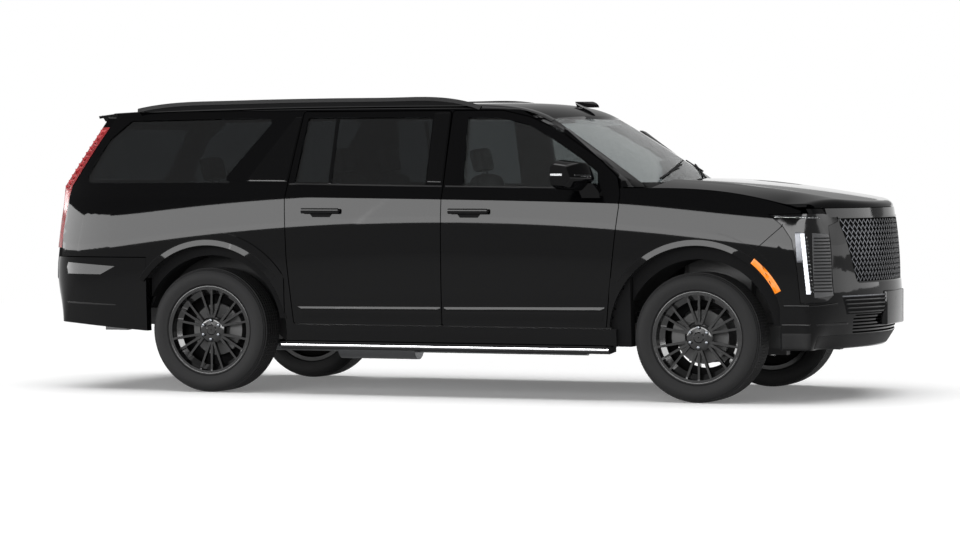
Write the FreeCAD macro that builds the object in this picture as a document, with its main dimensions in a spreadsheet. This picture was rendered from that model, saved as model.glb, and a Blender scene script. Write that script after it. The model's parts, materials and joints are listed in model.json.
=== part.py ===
# Long-wheelbase sport utility vehicle, with doors, hood and liftgate that open.
# Millimetres. +X is forwards, +Y is the vehicle's left, +Z is up.
# The origin is on the ground under the middle of the overall length.
import FreeCAD, Part

import math
import os

import Sketcher

from FreeCAD import Placement, Rotation, Vector

SIZES = {
    # Overall layout
    "wheelbase": 3407,
    "front_overhang": 1051,
    "rear_overhang": 1308,
    "body_width": 2036,
    "track": 1742,
    "kingpin_inset": 111,
    "kingpin_radius": 11,
    # Wheels
    "tyre_radius": 417,
    "tyre_width": 275,
    "rim_bead_radius": 279.4,
    "rim_width": 228,
    "rim_wall": 7,
    "rim_lip_height": 19,
    "hub_radius": 88,
    "hub_face_inset": 62,
    "spoke_groups": 6,
    "spoke_width": 17,
    "spoke_depth": 34,
    "cap_radius": 36,
    "disc_radius": 172,
    "disc_thickness": 30,
    # Side wall
    "sill_height": 470,
    "widest_height": 1088,
    "crease_height": 1306,
    "belt_height": 1373,
    "side_top_height": 1879,
    "sill_depth": 120,
    "tumblehome": 0.32,
    "shoulder_slope": 0.45,
    "door_thickness": 120,
    "skin_depth": 30,
    "frame_depth": 62,
    "fender_depth": 12,
    "panel_gap": 6,
    # Doors
    "door_behind_front_axle": 521,
    "front_door_length": 1213,
    "rear_door_length": 1108,
    "door_inset": 40,
    # Arches
    "front_arch_radius": 585,
    "rear_arch_radius": 566,
    "rear_cover_behind_axle": 450,
    "rear_cover_bottom": 404,
    "flare_width": 96,
    "flare_height": 9,
    # Roof, hood, windscreen
    "roof_height": 1937,
    "roof_crown": 22,
    "header_ahead_of_mid": 888,
    "header_height": 1842,
    "glass_thickness": 6,
    "cowl_height": 1402,
    "cowl_behind_front_axle": 232,
    "cowl_depth": 190,
    "roof_thickness": 45,
    "hood_thickness": 30,
    "hood_half_width": 946,
    "hood_rear_height": 1436,
    "hood_lip_height": 1243,
    "hood_hinge_behind_axle": 392,
    "hood_hinge_height": 1330,
    "hinge_pin_radius": 8,
    # Nose
    "nose_sag": 0.000324,
    "grille_top": 1186,
    "grille_bottom": 762,
    "grille_top_half": 708,
    "grille_bottom_half": 570,
    "bumper_bottom": 343,
    "bumper_wall": 60,
    # Tail
    "gate_bottom": 742,
    "gate_half_width": 800,
    "gate_thickness": 60,
    "gate_top_height": 1868,
    "waist_height": 1380,
    # Lamps and intake
    "lamp_depth": 70,
    "lamp_gap": 3,
    "tail_lamp_reach": 68,
    "intake_top": 560,
    "intake_bottom": 440,
    "intake_half": 560,
    # Mirrors
    "mirror_height": 1455,
    "mirror_reach": 167,
    # Cabin
    "floor_height": 560,
    "floor_thickness": 20,
    "seat_width": 520,
    "seat_depth": 520,
    "seat_cushion_height": 330,
    "seat_cushion_thickness": 170,
    "seat_back_height": 690,
    "seat_back_thickness": 130,
    "steering_wheel_radius": 188,
    "steering_rim_radius": 16,
    # Chassis
    "rail_height": 150,
    "rail_width": 80,
    "rail_spacing": 860,
    "rail_bottom": 330,
    "rail_end_inset": 215,
    "crossmember_width": 90,
    "axle_tube_radius": 42,
    "engine_length": 620,
    "engine_width": 560,
    "engine_height": 620,
    "engine_bottom": 420,
    "hitch_opening": 51,
    "hitch_wall": 6,
    "hitch_length": 170,
    "pin_bore_radius": 8,
    # Outside trim
    "board_length": 2290,
    "board_width": 150,
    "board_thickness": 46,
    "roof_rail_spread": 1560,
}

# Clearance of a seated piece, the wider one of the roof panel, and the lean of the tailgate edge
SEAT = 0.3
ROOF_SEAT = 0.9
GATE_LEAN = 0.145

doc = FreeCAD.newDocument("suv")
sheet = doc.addObject("Spreadsheet::Sheet", "Sizes")
for row, (alias, value) in enumerate(SIZES.items(), start=1):
    sheet.set("A%d" % row, alias.replace("_", " "))
    sheet.set("B%d" % row, str(value))
    sheet.setAlias("B%d" % row, alias)
doc.recompute()


def size(alias):
    return float(sheet.get(alias))


overall_length = size("front_overhang") + size("wheelbase") + size("rear_overhang")
nose_x = overall_length / 2
tail_x = -overall_length / 2
front_axle_x = nose_x - size("front_overhang")
rear_axle_x = tail_x + size("rear_overhang")
half_width = size("body_width") / 2
sill_foot_z = size("sill_height") - size("sill_depth")
axle_z = size("tyre_radius")
kingpin_y = size("track") / 2 - size("kingpin_inset")
gap = size("panel_gap")
parts = []


def keep(label, shape):
    """Adds a finished shape to the document under its own label."""
    piece = doc.addObject("Part::Feature", label)
    piece.Label = label
    piece.Shape = shape
    piece.Placement = Placement()
    parts.append(piece)
    return piece


def mirrored(shape):
    return shape.mirror(Vector(), Vector(0, 1, 0))


# Surface of the body: half width as a function of place

def plan_half_width(x):
    """Half width at the widest height, which closes in towards both ends."""
    ahead = max(0.0, x - (front_axle_x - 332)) / 750
    behind = max(0.0, rear_axle_x + 75 - x) / 933
    return half_width - 13 * ahead ** 5.6 - 18 * behind ** 6.6


def widest_z(x):
    return size("widest_height") - 3.4e-5 * (x - 150) ** 2


def crease_z(x):
    run = max(0.0, (x + 900) / 1000)
    return size("crease_height") - 12 * run - 0.45 * run ** 4


def belt_z(x):
    return size("belt_height") - 0.0155 * x


def side_y(x, z):
    """Half width of the outer skin at a place along the side."""
    plan = plan_half_width(x)
    wide = widest_z(x)
    crease = crease_z(x)
    belt = belt_z(x)
    if z <= wide:
        return plan - 28 * ((wide - z) / 630) ** 2
    if z <= crease:
        return plan - 2.9e-4 * (z - wide) ** 2
    at_crease = plan - 2.9e-4 * (crease - wide) ** 2
    if z <= belt:
        return at_crease - size("shoulder_slope") * (z - crease)
    at_belt = at_crease - size("shoulder_slope") * (belt - crease)
    rise = z - belt
    return at_belt - size("tumblehome") * rise - 4e-5 * rise ** 2


ROOF_BOW = 2.6e-4


def roof_z(x, y):
    """Height of the roof skin: it falls at the rear and into the windscreen."""
    run = x + ROOF_BOW * y * y
    header = size("header_ahead_of_mid")
    z = size("roof_height") - size("roof_crown") * (abs(y) / 760) ** 2.2
    if run > 0:
        return z - 95 * (run / header) ** 5
    return z - 12 * (-run / 1400) ** 2.67


def screen_x(y, z):
    """Outer face of the windscreen at a height."""
    header_x = size("header_ahead_of_mid")
    cowl_x = front_axle_x - size("cowl_behind_front_axle")
    part = (size("header_height") - z) / (size("header_height") - size("cowl_height"))
    return header_x + (cowl_x - header_x) * part + 30 * part * (1 - part) - 3.06e-4 * y * y


def nose_profile_x(z):
    """Foremost line of the front end on the centre plane."""
    if z > 765:
        return nose_x - 11 - 3.5e-5 * (z - 765) ** 1.0 - 1.9e-4 * (z - 765) ** 2
    return nose_x - 11 * ((z - 640) / 125) ** 2 if z > 640 else nose_x - 1.25e-3 * (640 - z) ** 2


def nose_plan_x(y, z):
    return nose_profile_x(z) - size("nose_sag") * y * y


def tail_profile_x(z):
    """Rearmost line of the body on the centre plane."""
    if z <= 800:
        return tail_x + 0.0012 * (800 - z) ** 2 * 0.6
    waist = size("waist_height")
    if z <= waist:
        return tail_x + 0.115 * (z - 800)
    return tail_x + 0.115 * (waist - 800) + 0.66 * (z - waist) + 2e-5 * (z - waist) ** 2


def tail_plan_x(y, z):
    return tail_profile_x(z) + 1.2e-4 * y * y


def steps(low, high, count):
    return [low + (high - low) * i / (count - 1) for i in range(count)]


def skin(columns, rows, place):
    """A smooth face through a grid of places worked out by a formula."""
    surface = Part.BSplineSurface()
    surface.interpolate([[place(u, v) for v in rows] for u in columns])
    return surface.toShape()


def curve(points):
    """A smooth edge through its points, or a straight one through two."""
    if len(points) == 2:
        return Part.LineSegment(points[0], points[1]).toShape()
    spline = Part.BSplineCurve()
    spline.interpolate(points)
    return spline.toShape()


def ring_of(stretches):
    """A closed wire from stretches of points, each starting where the last one ends."""
    return Part.Wire([curve(points) for points in stretches])


def outline_prism(points, low_y, high_y, radius=0.0):
    """A prism along Y from an outline drawn in the XZ plane."""
    wire = Part.makePolygon([Vector(x, low_y, z) for x, z in points + points[:1]])
    if radius:
        wire = rounded(wire, radius)
    return Part.Face(wire).extrude(Vector(0, high_y - low_y, 0))


def rounded(wire, radius):
    """The same closed outline with an arc at each corner."""
    corners = [v.Point for v in wire.OrderedVertexes]
    edges = []
    ends = []
    for i, corner in enumerate(corners):
        back = corners[i - 1] - corner
        ahead = corners[(i + 1) % len(corners)] - corner
        half = back.getAngle(ahead) / 2
        cut = min(radius / math.tan(half), 0.45 * back.Length, 0.45 * ahead.Length)
        start = corner + back.normalize() * cut
        end = corner + ahead.normalize() * cut
        if half > 1.5:
            ends.append((corner, corner, None))
            continue
        bisector = (back + ahead).normalize()
        real = cut * math.tan(half)
        middle = corner + bisector * (real / math.sin(half) - real)
        ends.append((start, end, middle))
    for i, (start, end, middle) in enumerate(ends):
        if middle is not None:
            edges.append(Part.Arc(start, middle, end).toShape())
        following = ends[(i + 1) % len(ends)][0]
        if (following - end).Length > 0.01:
            edges.append(Part.LineSegment(end, following).toShape())
    return Part.Wire(edges)


def grown(points, amount):
    """The outline moved outwards by an amount, inwards where negative."""
    wire = Part.makePolygon([Vector(x, 0, z) for x, z in points + points[:1]])
    bigger = wire.makeOffset2D(amount, 2, False, False, True)
    return [(v.Point.x, v.Point.z) for v in bigger.OrderedVertexes]


def solid_of(shape):
    """The one solid of a shape, or a compound where there are several."""
    solids = [s for s in shape.Solids if s.Volume > 1000]
    return solids[0] if len(solids) == 1 else Part.makeCompound(solids)


# Side wall: bands of skin given their thickness inwards

def wall_section(x, start, lower_end, upper_end, top):
    """Closed section of the left side wall between two depths, at one station."""
    foot, crease, belt = sill_foot_z, crease_z(x), belt_z(x)

    def line(heights, depth):
        return [Vector(x, side_y(x, z) - depth, z) for z in heights]
    low, high = steps(foot, crease, 7), steps(belt, top, 4)
    outer = [line(low, start), line([crease, belt], start), line(high, start)]
    inner = [line(high[::-1], upper_end), [], line(low[::-1], lower_end)]
    inner[1] = [inner[0][-1], inner[2][0]]
    return ring_of(outer + [[outer[2][-1], inner[0][0]]] + inner + [[inner[2][-1], outer[0][0]]])


def side_wall(x_low, x_high, start, lower_end, upper_end, count=9):
    """Left side wall: lower body, shoulder and window frames."""
    sections = [wall_section(x, start, lower_end, upper_end, door_top_z)
                for x in steps(x_low, x_high, count)]
    return Part.makeLoft(sections, True, False)


def low_section(x, start, end, foot, top):
    """Closed section of the left lower body, up to a line above the crease."""
    def line(heights, depth):
        return [Vector(x, side_y(x, z) - depth, z) for z in heights]
    low = steps(foot, crease_z(x), 7)
    outer = [line(low, start), line([low[-1], top], start)]
    inner = [line([top, low[-1]], end), line(low[::-1], end)]
    return ring_of([outer[0], outer[1], [outer[1][-1], inner[0][0]], inner[0], inner[1],
                    [inner[1][-1], outer[0][0]]])


def low_wall(x_low, x_high, start, end, foot, top_z, count=9):
    sections = [low_section(x, start, end, foot, top_z(x)) for x in steps(x_low, x_high, count)]
    return Part.makeLoft(sections, True, False)


door_front_x = front_axle_x - size("door_behind_front_axle")
door_split_x = door_front_x - size("front_door_length")
door_rear_x = door_split_x - gap - size("rear_door_length")
sill_z = size("sill_height")
door_top_z = size("side_top_height")
outside_y = half_width + 60
inside_y = half_width - 420


def front_door_outline():
    x = door_front_x
    return [
        (door_split_x, sill_z), (x - 88, sill_z), (x - 64, 716), (x - 28, 1040),
        (x - 2, 1250), (x - 2, 1330), (x - 30, 1440), (x - 156, 1549), (x - 449, 1737),
        (x - 667, 1830), (x - 860, door_top_z - gap), (door_split_x + 8, door_top_z - gap),
        (door_split_x, 1390),
    ]


def rear_door_outline():
    front = door_split_x - gap
    x = door_rear_x
    return [
        (front, sill_z), (front, 1390), (front, door_top_z - gap), (x + 60, door_top_z - gap),
        (x + 6, 1400), (x, 1289), (x + 18, 891), (x + 46, 626), (x + 62, sill_z),
    ]


def front_window_outline():
    x = door_front_x
    return [
        (door_split_x + 138, 1374), (door_split_x + 112, 1830), (x - 868, 1828),
        (x - 660, 1778), (x - 512, 1699), (x - 292, 1562), (x - 165, 1470), (x - 150, 1358),
    ]


def rear_window_outline():
    front = door_split_x - gap
    x = door_rear_x
    return [(front - 122, 1380), (front - 124, 1832), (x + 92, 1834), (x + 50, 1394)]


def quarter_window_outline():
    x = door_rear_x
    return [
        (x - 400, 1402), (x - 470, 1424), (x - 141, 1836), (tail_x + 640, 1822),
        (tail_x + 480, 1690), (tail_x + 340, 1440), (tail_x + 365, 1402),
    ]


def door_solid(outline, window):
    """A door: outer slab with its flange, inner box, and the window cut."""
    low = min(x for x, z in outline) - 40
    high = max(x for x, z in outline) + 40
    slab_depth = size("skin_depth")
    slab = side_wall(low, high, 0, slab_depth, slab_depth)
    slab = slab.common(outline_prism(outline, inside_y, outside_y, 18))
    box = side_wall(low, high, slab_depth - 1, size("door_thickness"), size("frame_depth"))
    box = box.common(outline_prism(grown(outline, -size("door_inset")), inside_y, outside_y))
    return solid_of(slab.fuse(box).cut(outline_prism(window, inside_y, outside_y, 22)))


def side_glass(window, radius=22):
    """Side glass, held in the rim of its window."""
    low = min(x for x, z in window) - 30
    high = max(x for x, z in window) + 30
    inset = 10
    pane = side_wall(low, high, inset, inset + size("glass_thickness"),
                     inset + size("glass_thickness"), 6)
    return solid_of(pane.common(outline_prism(grown(window, -0.3), inside_y, outside_y, radius)))


def arch_hole(axle_x, radius):
    return Part.makeCylinder(radius, 700, Vector(axle_x, half_width - 640, axle_z),
                             Vector(0, 1, 0))


def flare(axle_x, radius, low, high):
    """Raised band round a wheel arch, proud of the side."""
    band = low_wall(low, high, -size("flare_height"), 20, sill_z - 20,
                    lambda x: crease_z(x) + 2)
    ring = Part.makeCylinder(radius + size("flare_width"), 700,
                             Vector(axle_x, half_width - 640, axle_z), Vector(0, 1, 0))
    return band.common(ring).cut(arch_hole(axle_x, radius))


side_front_x = door_front_x + 70
quarter_rear_x = tail_x + 175


def a_pillar_solid():
    """Left windscreen pillar, from the cowl to the roof."""
    sections = []
    for z, back in ((1376, 4), (1420, 8), (1549, 150), (1737, 443), (1826, 640)):
        edge_y = 800 - 0.225 * (z - 1420)
        back_x = door_front_x - back + 8
        side = side_y(back_x, z) - 2
        lip_x = screen_x(edge_y, z)
        points = [
            Vector(back_x, side, z), Vector(back_x + 0.55 * (lip_x - back_x), side - 26, z),
            Vector(lip_x - 2, edge_y, z), Vector(lip_x - 45, edge_y - 4, z),
            Vector(back_x, side - 62, z),
        ]
        sections.append(Part.makePolygon(points + points[:1]))
    pillar = Part.makeLoft(sections, True, True)
    for rise in (2, -2):
        pillar = pillar.cut(roof_solid().translated(Vector(1, 1, rise)))
    return pillar


def above_roof():
    """Space above the roof's edge, which the side walls stay under."""
    places = steps(tail_x + 300, size("header_ahead_of_mid"), 12)
    edge = [(x, roof_z(x, 726) - 4) for x in places]
    return outline_prism(edge + [(edge[-1][0], 2100), (edge[0][0], 2100)], 0, outside_y)


def body_side_solid():
    """Left body side: sill, pillars, roof rail and rear quarter."""
    depth = size("skin_depth") + gap
    outer = side_wall(quarter_rear_x, door_front_x - 20, 0, depth, depth)
    inner = side_wall(quarter_rear_x, side_front_x, depth - 1, size("door_thickness"),
                      size("frame_depth") + gap)
    for outline in (front_door_outline(), rear_door_outline()):
        outer = outer.cut(outline_prism(grown(outline, gap), inside_y, outside_y, 24))
        shrunk = grown(outline, gap - size("door_inset"))
        inner = inner.cut(outline_prism(shrunk, inside_y, outside_y))
    ahead_of_door = Part.makeBox(300, 700, 1395 - sill_z + gap,
                                 Vector(door_front_x - 130, half_width - 640, sill_z - gap))
    side = outer.cut(ahead_of_door).fuse(inner)
    side = side.fuse(flare(rear_axle_x, size("rear_arch_radius"), rear_axle_x - 720,
                           door_rear_x - gap))
    side = side.cut(arch_hole(rear_axle_x, size("rear_arch_radius")))
    side = side.fuse(wheel_liner(rear_axle_x, size("rear_arch_radius"), 866 + SEAT))
    window = quarter_window_outline()
    side = side.cut(outline_prism(window, inside_y, outside_y, 30))
    above_screen = [
        (door_front_x + 90, 1250), (door_front_x + 90, door_top_z + 60),
        (door_front_x - 640, door_top_z + 60), (door_front_x - 640, 1850),
        (door_front_x - 400, 1745), (door_front_x - 20, 1452),
    ]
    side = side.cut(outline_prism(above_screen, inside_y, outside_y))
    side = side.cut(rear_cover_space(0)).cut(above_roof())
    return solid_of(side.cut(behind_side()))


def rear_cover_space(shrink):
    """Space that the rear bumper cover takes, behind the rear wheel arch."""
    top, front = 904 - shrink, rear_axle_x - size("rear_cover_behind_axle") - shrink
    points = [(tail_x - 60, 200), (tail_x - 60, top), (front, top), (front, 200)]
    return outline_prism(points, -outside_y, outside_y)


def behind_side():
    """Space behind the side wall, where the tail lamp and the liftgate lie."""
    reach = size("tail_lamp_reach") + SEAT
    heights = [300, 800, 1100, size("waist_height"), 1600, 1800, 2000]
    edge = [(tail_plan_x(lamp_corner_y(z), z) + reach, z) for z in heights]
    return outline_prism(edge + [(tail_x - 200, 2000), (tail_x - 200, 300)], 0, outside_y)


def lamp_corner_y(z):
    """Half width where the liftgate ends and the tail lamp begins."""
    lean = max(0, z - size("waist_height")) * GATE_LEAN
    return size("gate_half_width") + gap - lean


# Hood edge, fenders and front end

def hood_edge_z(x):
    run = max(0.0, x - (front_axle_x - 352)) / 869
    return 1368 - 96 * run ** 2.6


def wheel_liner(axle_x, arch_radius, low_y, radius=500):
    """Liner over a wheel, with the step out to the arch of the left side."""
    outer_y = 934
    liner = ring_piece(axle_x, 1, radius, radius + 8, low_y, outer_y)
    step = ring_piece(axle_x, 1, radius, arch_radius + 8, outer_y - 8, outer_y)
    lip = ring_piece(axle_x, 1, arch_radius, arch_radius + 8, outer_y - 8, half_width - 16)
    above = Part.makeBox(1400, 700, 800, Vector(axle_x - 700, 400, sill_z + 30))
    return liner.fuse(step).fuse(lip).common(above)


def fender_solid():
    """Left front fender with its wheel arch flare and liner."""
    panel = low_wall(door_front_x - 100, front_axle_x + 660, 0, size("fender_depth"), sill_z,
                     hood_edge_z, 13)
    panel = panel.fuse(flare(front_axle_x, size("front_arch_radius"), door_front_x - 60,
                             front_axle_x + 600))
    panel = panel.cut(outline_prism(grown(front_door_outline(), gap), inside_y, outside_y, 24))
    panel = panel.cut(arch_hole(front_axle_x, size("front_arch_radius")))
    panel = panel.cut(front_cover_space())
    tower_y = size("rail_spacing") / 2 + 45
    liner = wheel_liner(front_axle_x, size("front_arch_radius"), tower_y + SEAT)
    behind = Part.makeBox(300, 1200, 900, Vector(side_front_x + 6 - 300, 0, 300))
    liner = liner.cut(behind)
    liner = liner.cut(front_cover_space(outer_only=True))
    return solid_of(panel.fuse(liner).cut(headlamp_space(size("lamp_gap"))))


def front_cover_space(outer_only=False):
    """Space ahead of the seam between the fender and the bumper cover."""
    x = front_axle_x
    points = [(x + 541, 300), (x + 541, 610), (x + 521, 690), (x + 436, 880), (x + 651, 1160),
              (x + 760, 1290), (x + 1100, 1290), (x + 1100, 300)]
    return outline_prism(points, 920 if outer_only else inside_y - 900, outside_y)


def plan_wire(z, wall, back_x, inset=0.0):
    """Closed plan section of the front end at one height."""
    def half(shrink):
        side = [Vector(x, side_y(x, z) - shrink, z)
                for x in (back_x, back_x + 90, front_axle_x + 540, front_axle_x + 640)]
        side.append(Vector(front_axle_x + 712 - 0.45 * shrink, 936 - 0.8 * shrink, z))
        front = [Vector(nose_plan_x(y, z) - shrink, y, z) for y in (800, 640, 440, 220)]
        return side + front
    def curve(shrink):
        left = half(shrink)
        centre = [Vector(nose_profile_x(z) - shrink, 0, z)]
        right = [Vector(p.x, -p.y, p.z) for p in reversed(left)]
        spline = Part.BSplineCurve()
        spline.interpolate(left + centre + right)
        return spline.toShape()
    outer = curve(inset)
    inner = curve(inset + wall)
    joins = [
        Part.LineSegment(outer.Vertexes[-1].Point, inner.Vertexes[-1].Point).toShape(),
        Part.LineSegment(inner.Vertexes[0].Point, outer.Vertexes[0].Point).toShape(),
    ]
    return Part.Wire([outer, joins[0], inner, joins[1]])


def front_shell(wall, low_z, high_z, inset=0.0, back=330):
    sections = [plan_wire(z, wall, front_axle_x + back, inset)
                for z in steps(low_z, high_z, 8)]
    return Part.makeLoft(sections, True, False)


def front_view_prism(points, low_x, high_x, radius=0.0):
    """A prism along X from an outline in the YZ plane."""
    wire = Part.makePolygon([Vector(low_x, y, z) for y, z in points + points[:1]])
    if radius:
        wire = rounded(wire, radius)
    return Part.Face(wire).extrude(Vector(high_x - low_x, 0, 0))


def headlamp_space(clearance=0.0):
    """Space of the left headlamp: a slim strip above and a tall lamp below."""
    x = front_axle_x
    side = [(x + 470, 1200), (x + 556, 1132), (x + 614, 1042), (x + 647, 853), (x + 667, 646),
            (x + 900, 646), (x + 960, 1206), (x + 640, 1206)]
    front = [(1100, 1240), (704, 1190), (704, 1158), (800, 1130), (800, 690), (860, 646),
             (1100, 646)]
    if clearance:
        side = grown(side, clearance)
        front = [(y, z) for y, z in grown(front, clearance)]
    box = outline_prism(side, inside_y, outside_y)
    return box.common(front_view_prism(front, x + 300, nose_x + 60))


def grille_outline(shrink=0.0):
    top, bottom = size("grille_top"), size("grille_bottom")
    wide, narrow = size("grille_top_half"), size("grille_bottom_half")
    points = [(-narrow, bottom), (narrow, bottom), (wide, top), (-wide, top)]
    return grown(points, -shrink) if shrink else points


def intake_outline(shrink=0.0):
    half = size("intake_half")
    low, high = size("intake_bottom"), size("intake_top")
    points = [(-half, low), (half, low), (half + 60, high), (-half - 60, high)]
    return grown(points, -shrink) if shrink else points


def front_bumper_solid():
    """Front bumper cover, round the grille and the headlamps."""
    shell = front_shell(size("bumper_wall"), size("bumper_bottom"), 1180)
    space = front_cover_space()
    shell = shell.common(space.fuse(mirrored(space)))
    for lamp in (headlamp_space(size("lamp_gap")), mirrored(headlamp_space(size("lamp_gap")))):
        shell = shell.cut(lamp)
    shell = shell.cut(front_view_prism(grille_outline(), 2000, nose_x + 60, 40))
    return solid_of(shell.cut(front_view_prism(intake_outline(), 2000, nose_x + 60, 30)))


def grille_solid():
    shell = front_shell(26, 700, 1230, inset=14)
    grille = shell.common(front_view_prism(grille_outline(0.3), 2000, nose_x + 60, 40))
    return solid_of(grille)


def headlamp_solid():
    """Left headlamp, with the foot that it stands on in the bumper cover."""
    shell = front_shell(size("lamp_depth"), 620, 1236, inset=2, back=420)
    foot_z = 646 - size("lamp_gap") + SEAT
    foot = Part.makeBox(40, 40, 12, Vector(front_axle_x + 678, 880, foot_z))
    return solid_of(shell.common(headlamp_space().fuse(foot)))


def hood_point(x, y):
    """Height of the hood skin."""
    run = x - (front_axle_x - 332)
    middle = size("hood_rear_height") - 0.05 * run - 5.8e-5 * run * run
    out = abs(y)
    if out <= 600:
        return middle - 6 * (out / 600) ** 2
    part = (out - 600) / (size("hood_half_width") - 600)
    edge = hood_edge_z(min(x, front_axle_x + 560))
    return middle - 6 - (middle - 6 - edge) * part ** 1.4


hood_hinge_x = front_axle_x - size("hood_hinge_behind_axle")
hood_hinge_z = size("hood_hinge_height")


def hood_hinge_arm():
    """Left hinge arm of the hood, round the pin that the cowl carries."""
    x, z, low_y = hood_hinge_x, hood_hinge_z, 812
    points = [(x - 14, z - 10), (x + 30, z - 18), (x + 190, z + 8), (x + 190, z + 60),
              (x + 90, z + 40), (x - 4, z + 18)]
    arm = outline_prism(points, low_y, low_y + 26)
    bore = Part.makeCylinder(size("hinge_pin_radius") + SEAT, 60, Vector(x, low_y - 10, z),
                             Vector(0, 1, 0))
    return arm.cut(bore)


def hood_rear_x(y):
    return front_axle_x - 190 - 1.5e-4 * y * y


def hood_wire(y, thickness):
    """Closed profile of the hood at one distance from the centre plane."""
    back = hood_rear_x(y)
    front = nose_plan_x(y, size("hood_lip_height")) - 70
    top = [Vector(x, y, hood_point(x, y)) for x in steps(back, front, 7)]
    lip = size("hood_lip_height")
    top.append(Vector(front + 42, y, (top[-1].z + lip) / 2 + 14))
    top.append(Vector(front + 62, y, lip))
    low = [Vector(p.x - 0.4 * thickness * i / 8, y, p.z - thickness) for i, p in enumerate(top)]
    low[-1] = Vector(front + 62 - thickness, y, lip)
    low[-2] = Vector(front + 42 - thickness, y, top[-2].z - 0.7 * thickness)
    upper = Part.BSplineCurve()
    upper.interpolate(top)
    lower = Part.BSplineCurve()
    lower.interpolate(low)
    edges = [upper.toShape(), Part.LineSegment(top[-1], low[-1]).toShape(), lower.toShape(),
             Part.LineSegment(low[0], top[0]).toShape()]
    return Part.Wire(edges)


def hood_solid():
    half = size("hood_half_width")
    stations = [-half, -0.8 * half, -600, -300, 0, 300, 600, 0.8 * half, half]
    hood = Part.makeLoft([hood_wire(y, size("hood_thickness")) for y in stations], True, False)
    edge = [Vector(x, side_y(x, hood_edge_z(x)) - size("fender_depth") - gap, 1000)
            for x in steps(front_axle_x - 400, front_axle_x + 760, 12)]
    right = [Vector(point.x, -point.y, point.z) for point in edge[::-1]]
    front = [Vector(nose_x, 0, 1000)]
    plan = Part.Face(Part.makePolygon(edge + front + right + edge[:1]))
    hood = hood.common(plan.extrude(Vector(0, 0, 700)))
    arm = hood_hinge_arm()
    return solid_of(hood.fuse(arm).fuse(mirrored(arm)))


# Roof, windscreen and tail

def roof_rear_x(y):
    return tail_x + 453 + 1.2e-4 * y * y


def roof_edge_y(x):
    """Half width of the roof panel, between the roof rails of the side walls."""
    return side_y(x, door_top_z) - size("frame_depth") - gap - ROOF_SEAT


def roof_solid():
    def place(along, across):
        x = roof_rear_x(0) + (size("header_ahead_of_mid") - roof_rear_x(0)) * along
        y = roof_edge_y(x) * across
        front = size("header_ahead_of_mid") - ROOF_BOW * y * y
        rear = roof_rear_x(y)
        x = rear + (front - rear) * along
        y = roof_edge_y(x) * across
        return Vector(x, y, roof_z(x, y))
    face = skin(steps(0, 1, 14), steps(-1, 1, 9), place)
    panel = face.extrude(Vector(0, 0, -size("roof_thickness")))
    return panel


def windscreen_solid():
    wires = []
    for z in (size("cowl_height"), 1550, 1700, size("header_height") - 22):
        edge = 798 - 0.225 * (z - 1420)
        depth = size("glass_thickness") / 0.52
        def arc(shift):
            return Part.Arc(Vector(screen_x(edge, z) - shift, edge, z),
                            Vector(screen_x(0, z) - shift, 0, z),
                            Vector(screen_x(edge, z) - shift, -edge, z)).toShape()
        outer, inner = arc(0), arc(depth)
        wires.append(Part.Wire([
            outer, Part.LineSegment(outer.Vertexes[1].Point, inner.Vertexes[1].Point).toShape(),
            inner, Part.LineSegment(inner.Vertexes[0].Point, outer.Vertexes[0].Point).toShape(),
        ]))
    return Part.makeLoft(wires, True, False)


def cowl_solid():
    """Cowl between the bulkhead and the hood, which carries the windscreen."""
    top, half, back_x = size("cowl_height") - SEAT, 792, door_front_x - 30
    front = [Vector(hood_rear_x(y) - gap - 2 - 16 * max(0, abs(y) - 500) / 292, y, top)
             for y in steps(-half, half, 9)]
    back = [Vector(back_x, half, top), Vector(back_x, -half, top)]
    edge = ring_of([front, [front[-1], back[0]], back, [back[1], front[0]]])
    cowl = Part.Face(edge).extrude(Vector(0, 0, -size("cowl_depth")))
    pin = Part.makeCylinder(size("hinge_pin_radius"), 2 * half + 130,
                            Vector(hood_hinge_x, -half - 65, hood_hinge_z), Vector(0, 1, 0))
    return cowl.fuse(pin)


def tail_wire(y, depth, thickness, heights):
    """Closed profile of the tail between two depths; its waist is a corner."""
    def line(zs, inset):
        return [Vector(tail_plan_x(y, z) + inset, y, z) for z in zs]
    low = [z for z in heights if z <= size("waist_height")]
    high = [z for z in heights if z >= size("waist_height")]
    outer = [line(part, depth) for part in (low, high) if len(part) > 1]
    inner = [line(part[::-1], depth + thickness) for part in (high, low) if len(part) > 1]
    top = [outer[-1][-1], inner[0][0]]
    foot = [inner[-1][-1], outer[0][0]]
    return ring_of(outer + [top] + inner + [foot])


def tail_slab(depth, thickness, heights):
    stations = (-1000, -700, -350, 0, 350, 700, 1000)
    return Part.makeLoft([tail_wire(y, depth, thickness, heights) for y in stations], True, False)


def gate_outline():
    half, waist = size("gate_half_width"), size("waist_height")
    narrow = half - (1850 - waist) * GATE_LEAN
    return [(-half, size("gate_bottom")), (half, size("gate_bottom")), (half, waist),
            (narrow, 1850), (-narrow, 1850), (-half, waist)]


def gate_window_outline():
    half = size("gate_half_width") - 60
    return [(-half, 1420), (half, 1420), (half - 92, 1768), (-half + 92, 1768)]


def liftgate_solid():
    waist = size("waist_height")
    heights = [size("gate_bottom") - 20, 850, 1000, 1200, waist, 1550, 1700, size("gate_top_height")]
    slab = tail_slab(0, size("gate_thickness"), heights)
    low_x, high_x = tail_x - 50, tail_x + 900
    gate = slab.common(front_view_prism(gate_outline(), low_x, high_x, 20))
    return solid_of(gate.cut(front_view_prism(gate_window_outline(), low_x, high_x, 30)))


def liftgate_glass_solid():
    slab = tail_slab(6, 8, [size("waist_height"), 1500, 1650, 1800])
    outline = grown(gate_window_outline(), -0.3)
    return solid_of(slab.common(front_view_prism(outline, tail_x - 50, tail_x + 900, 30)))


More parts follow.
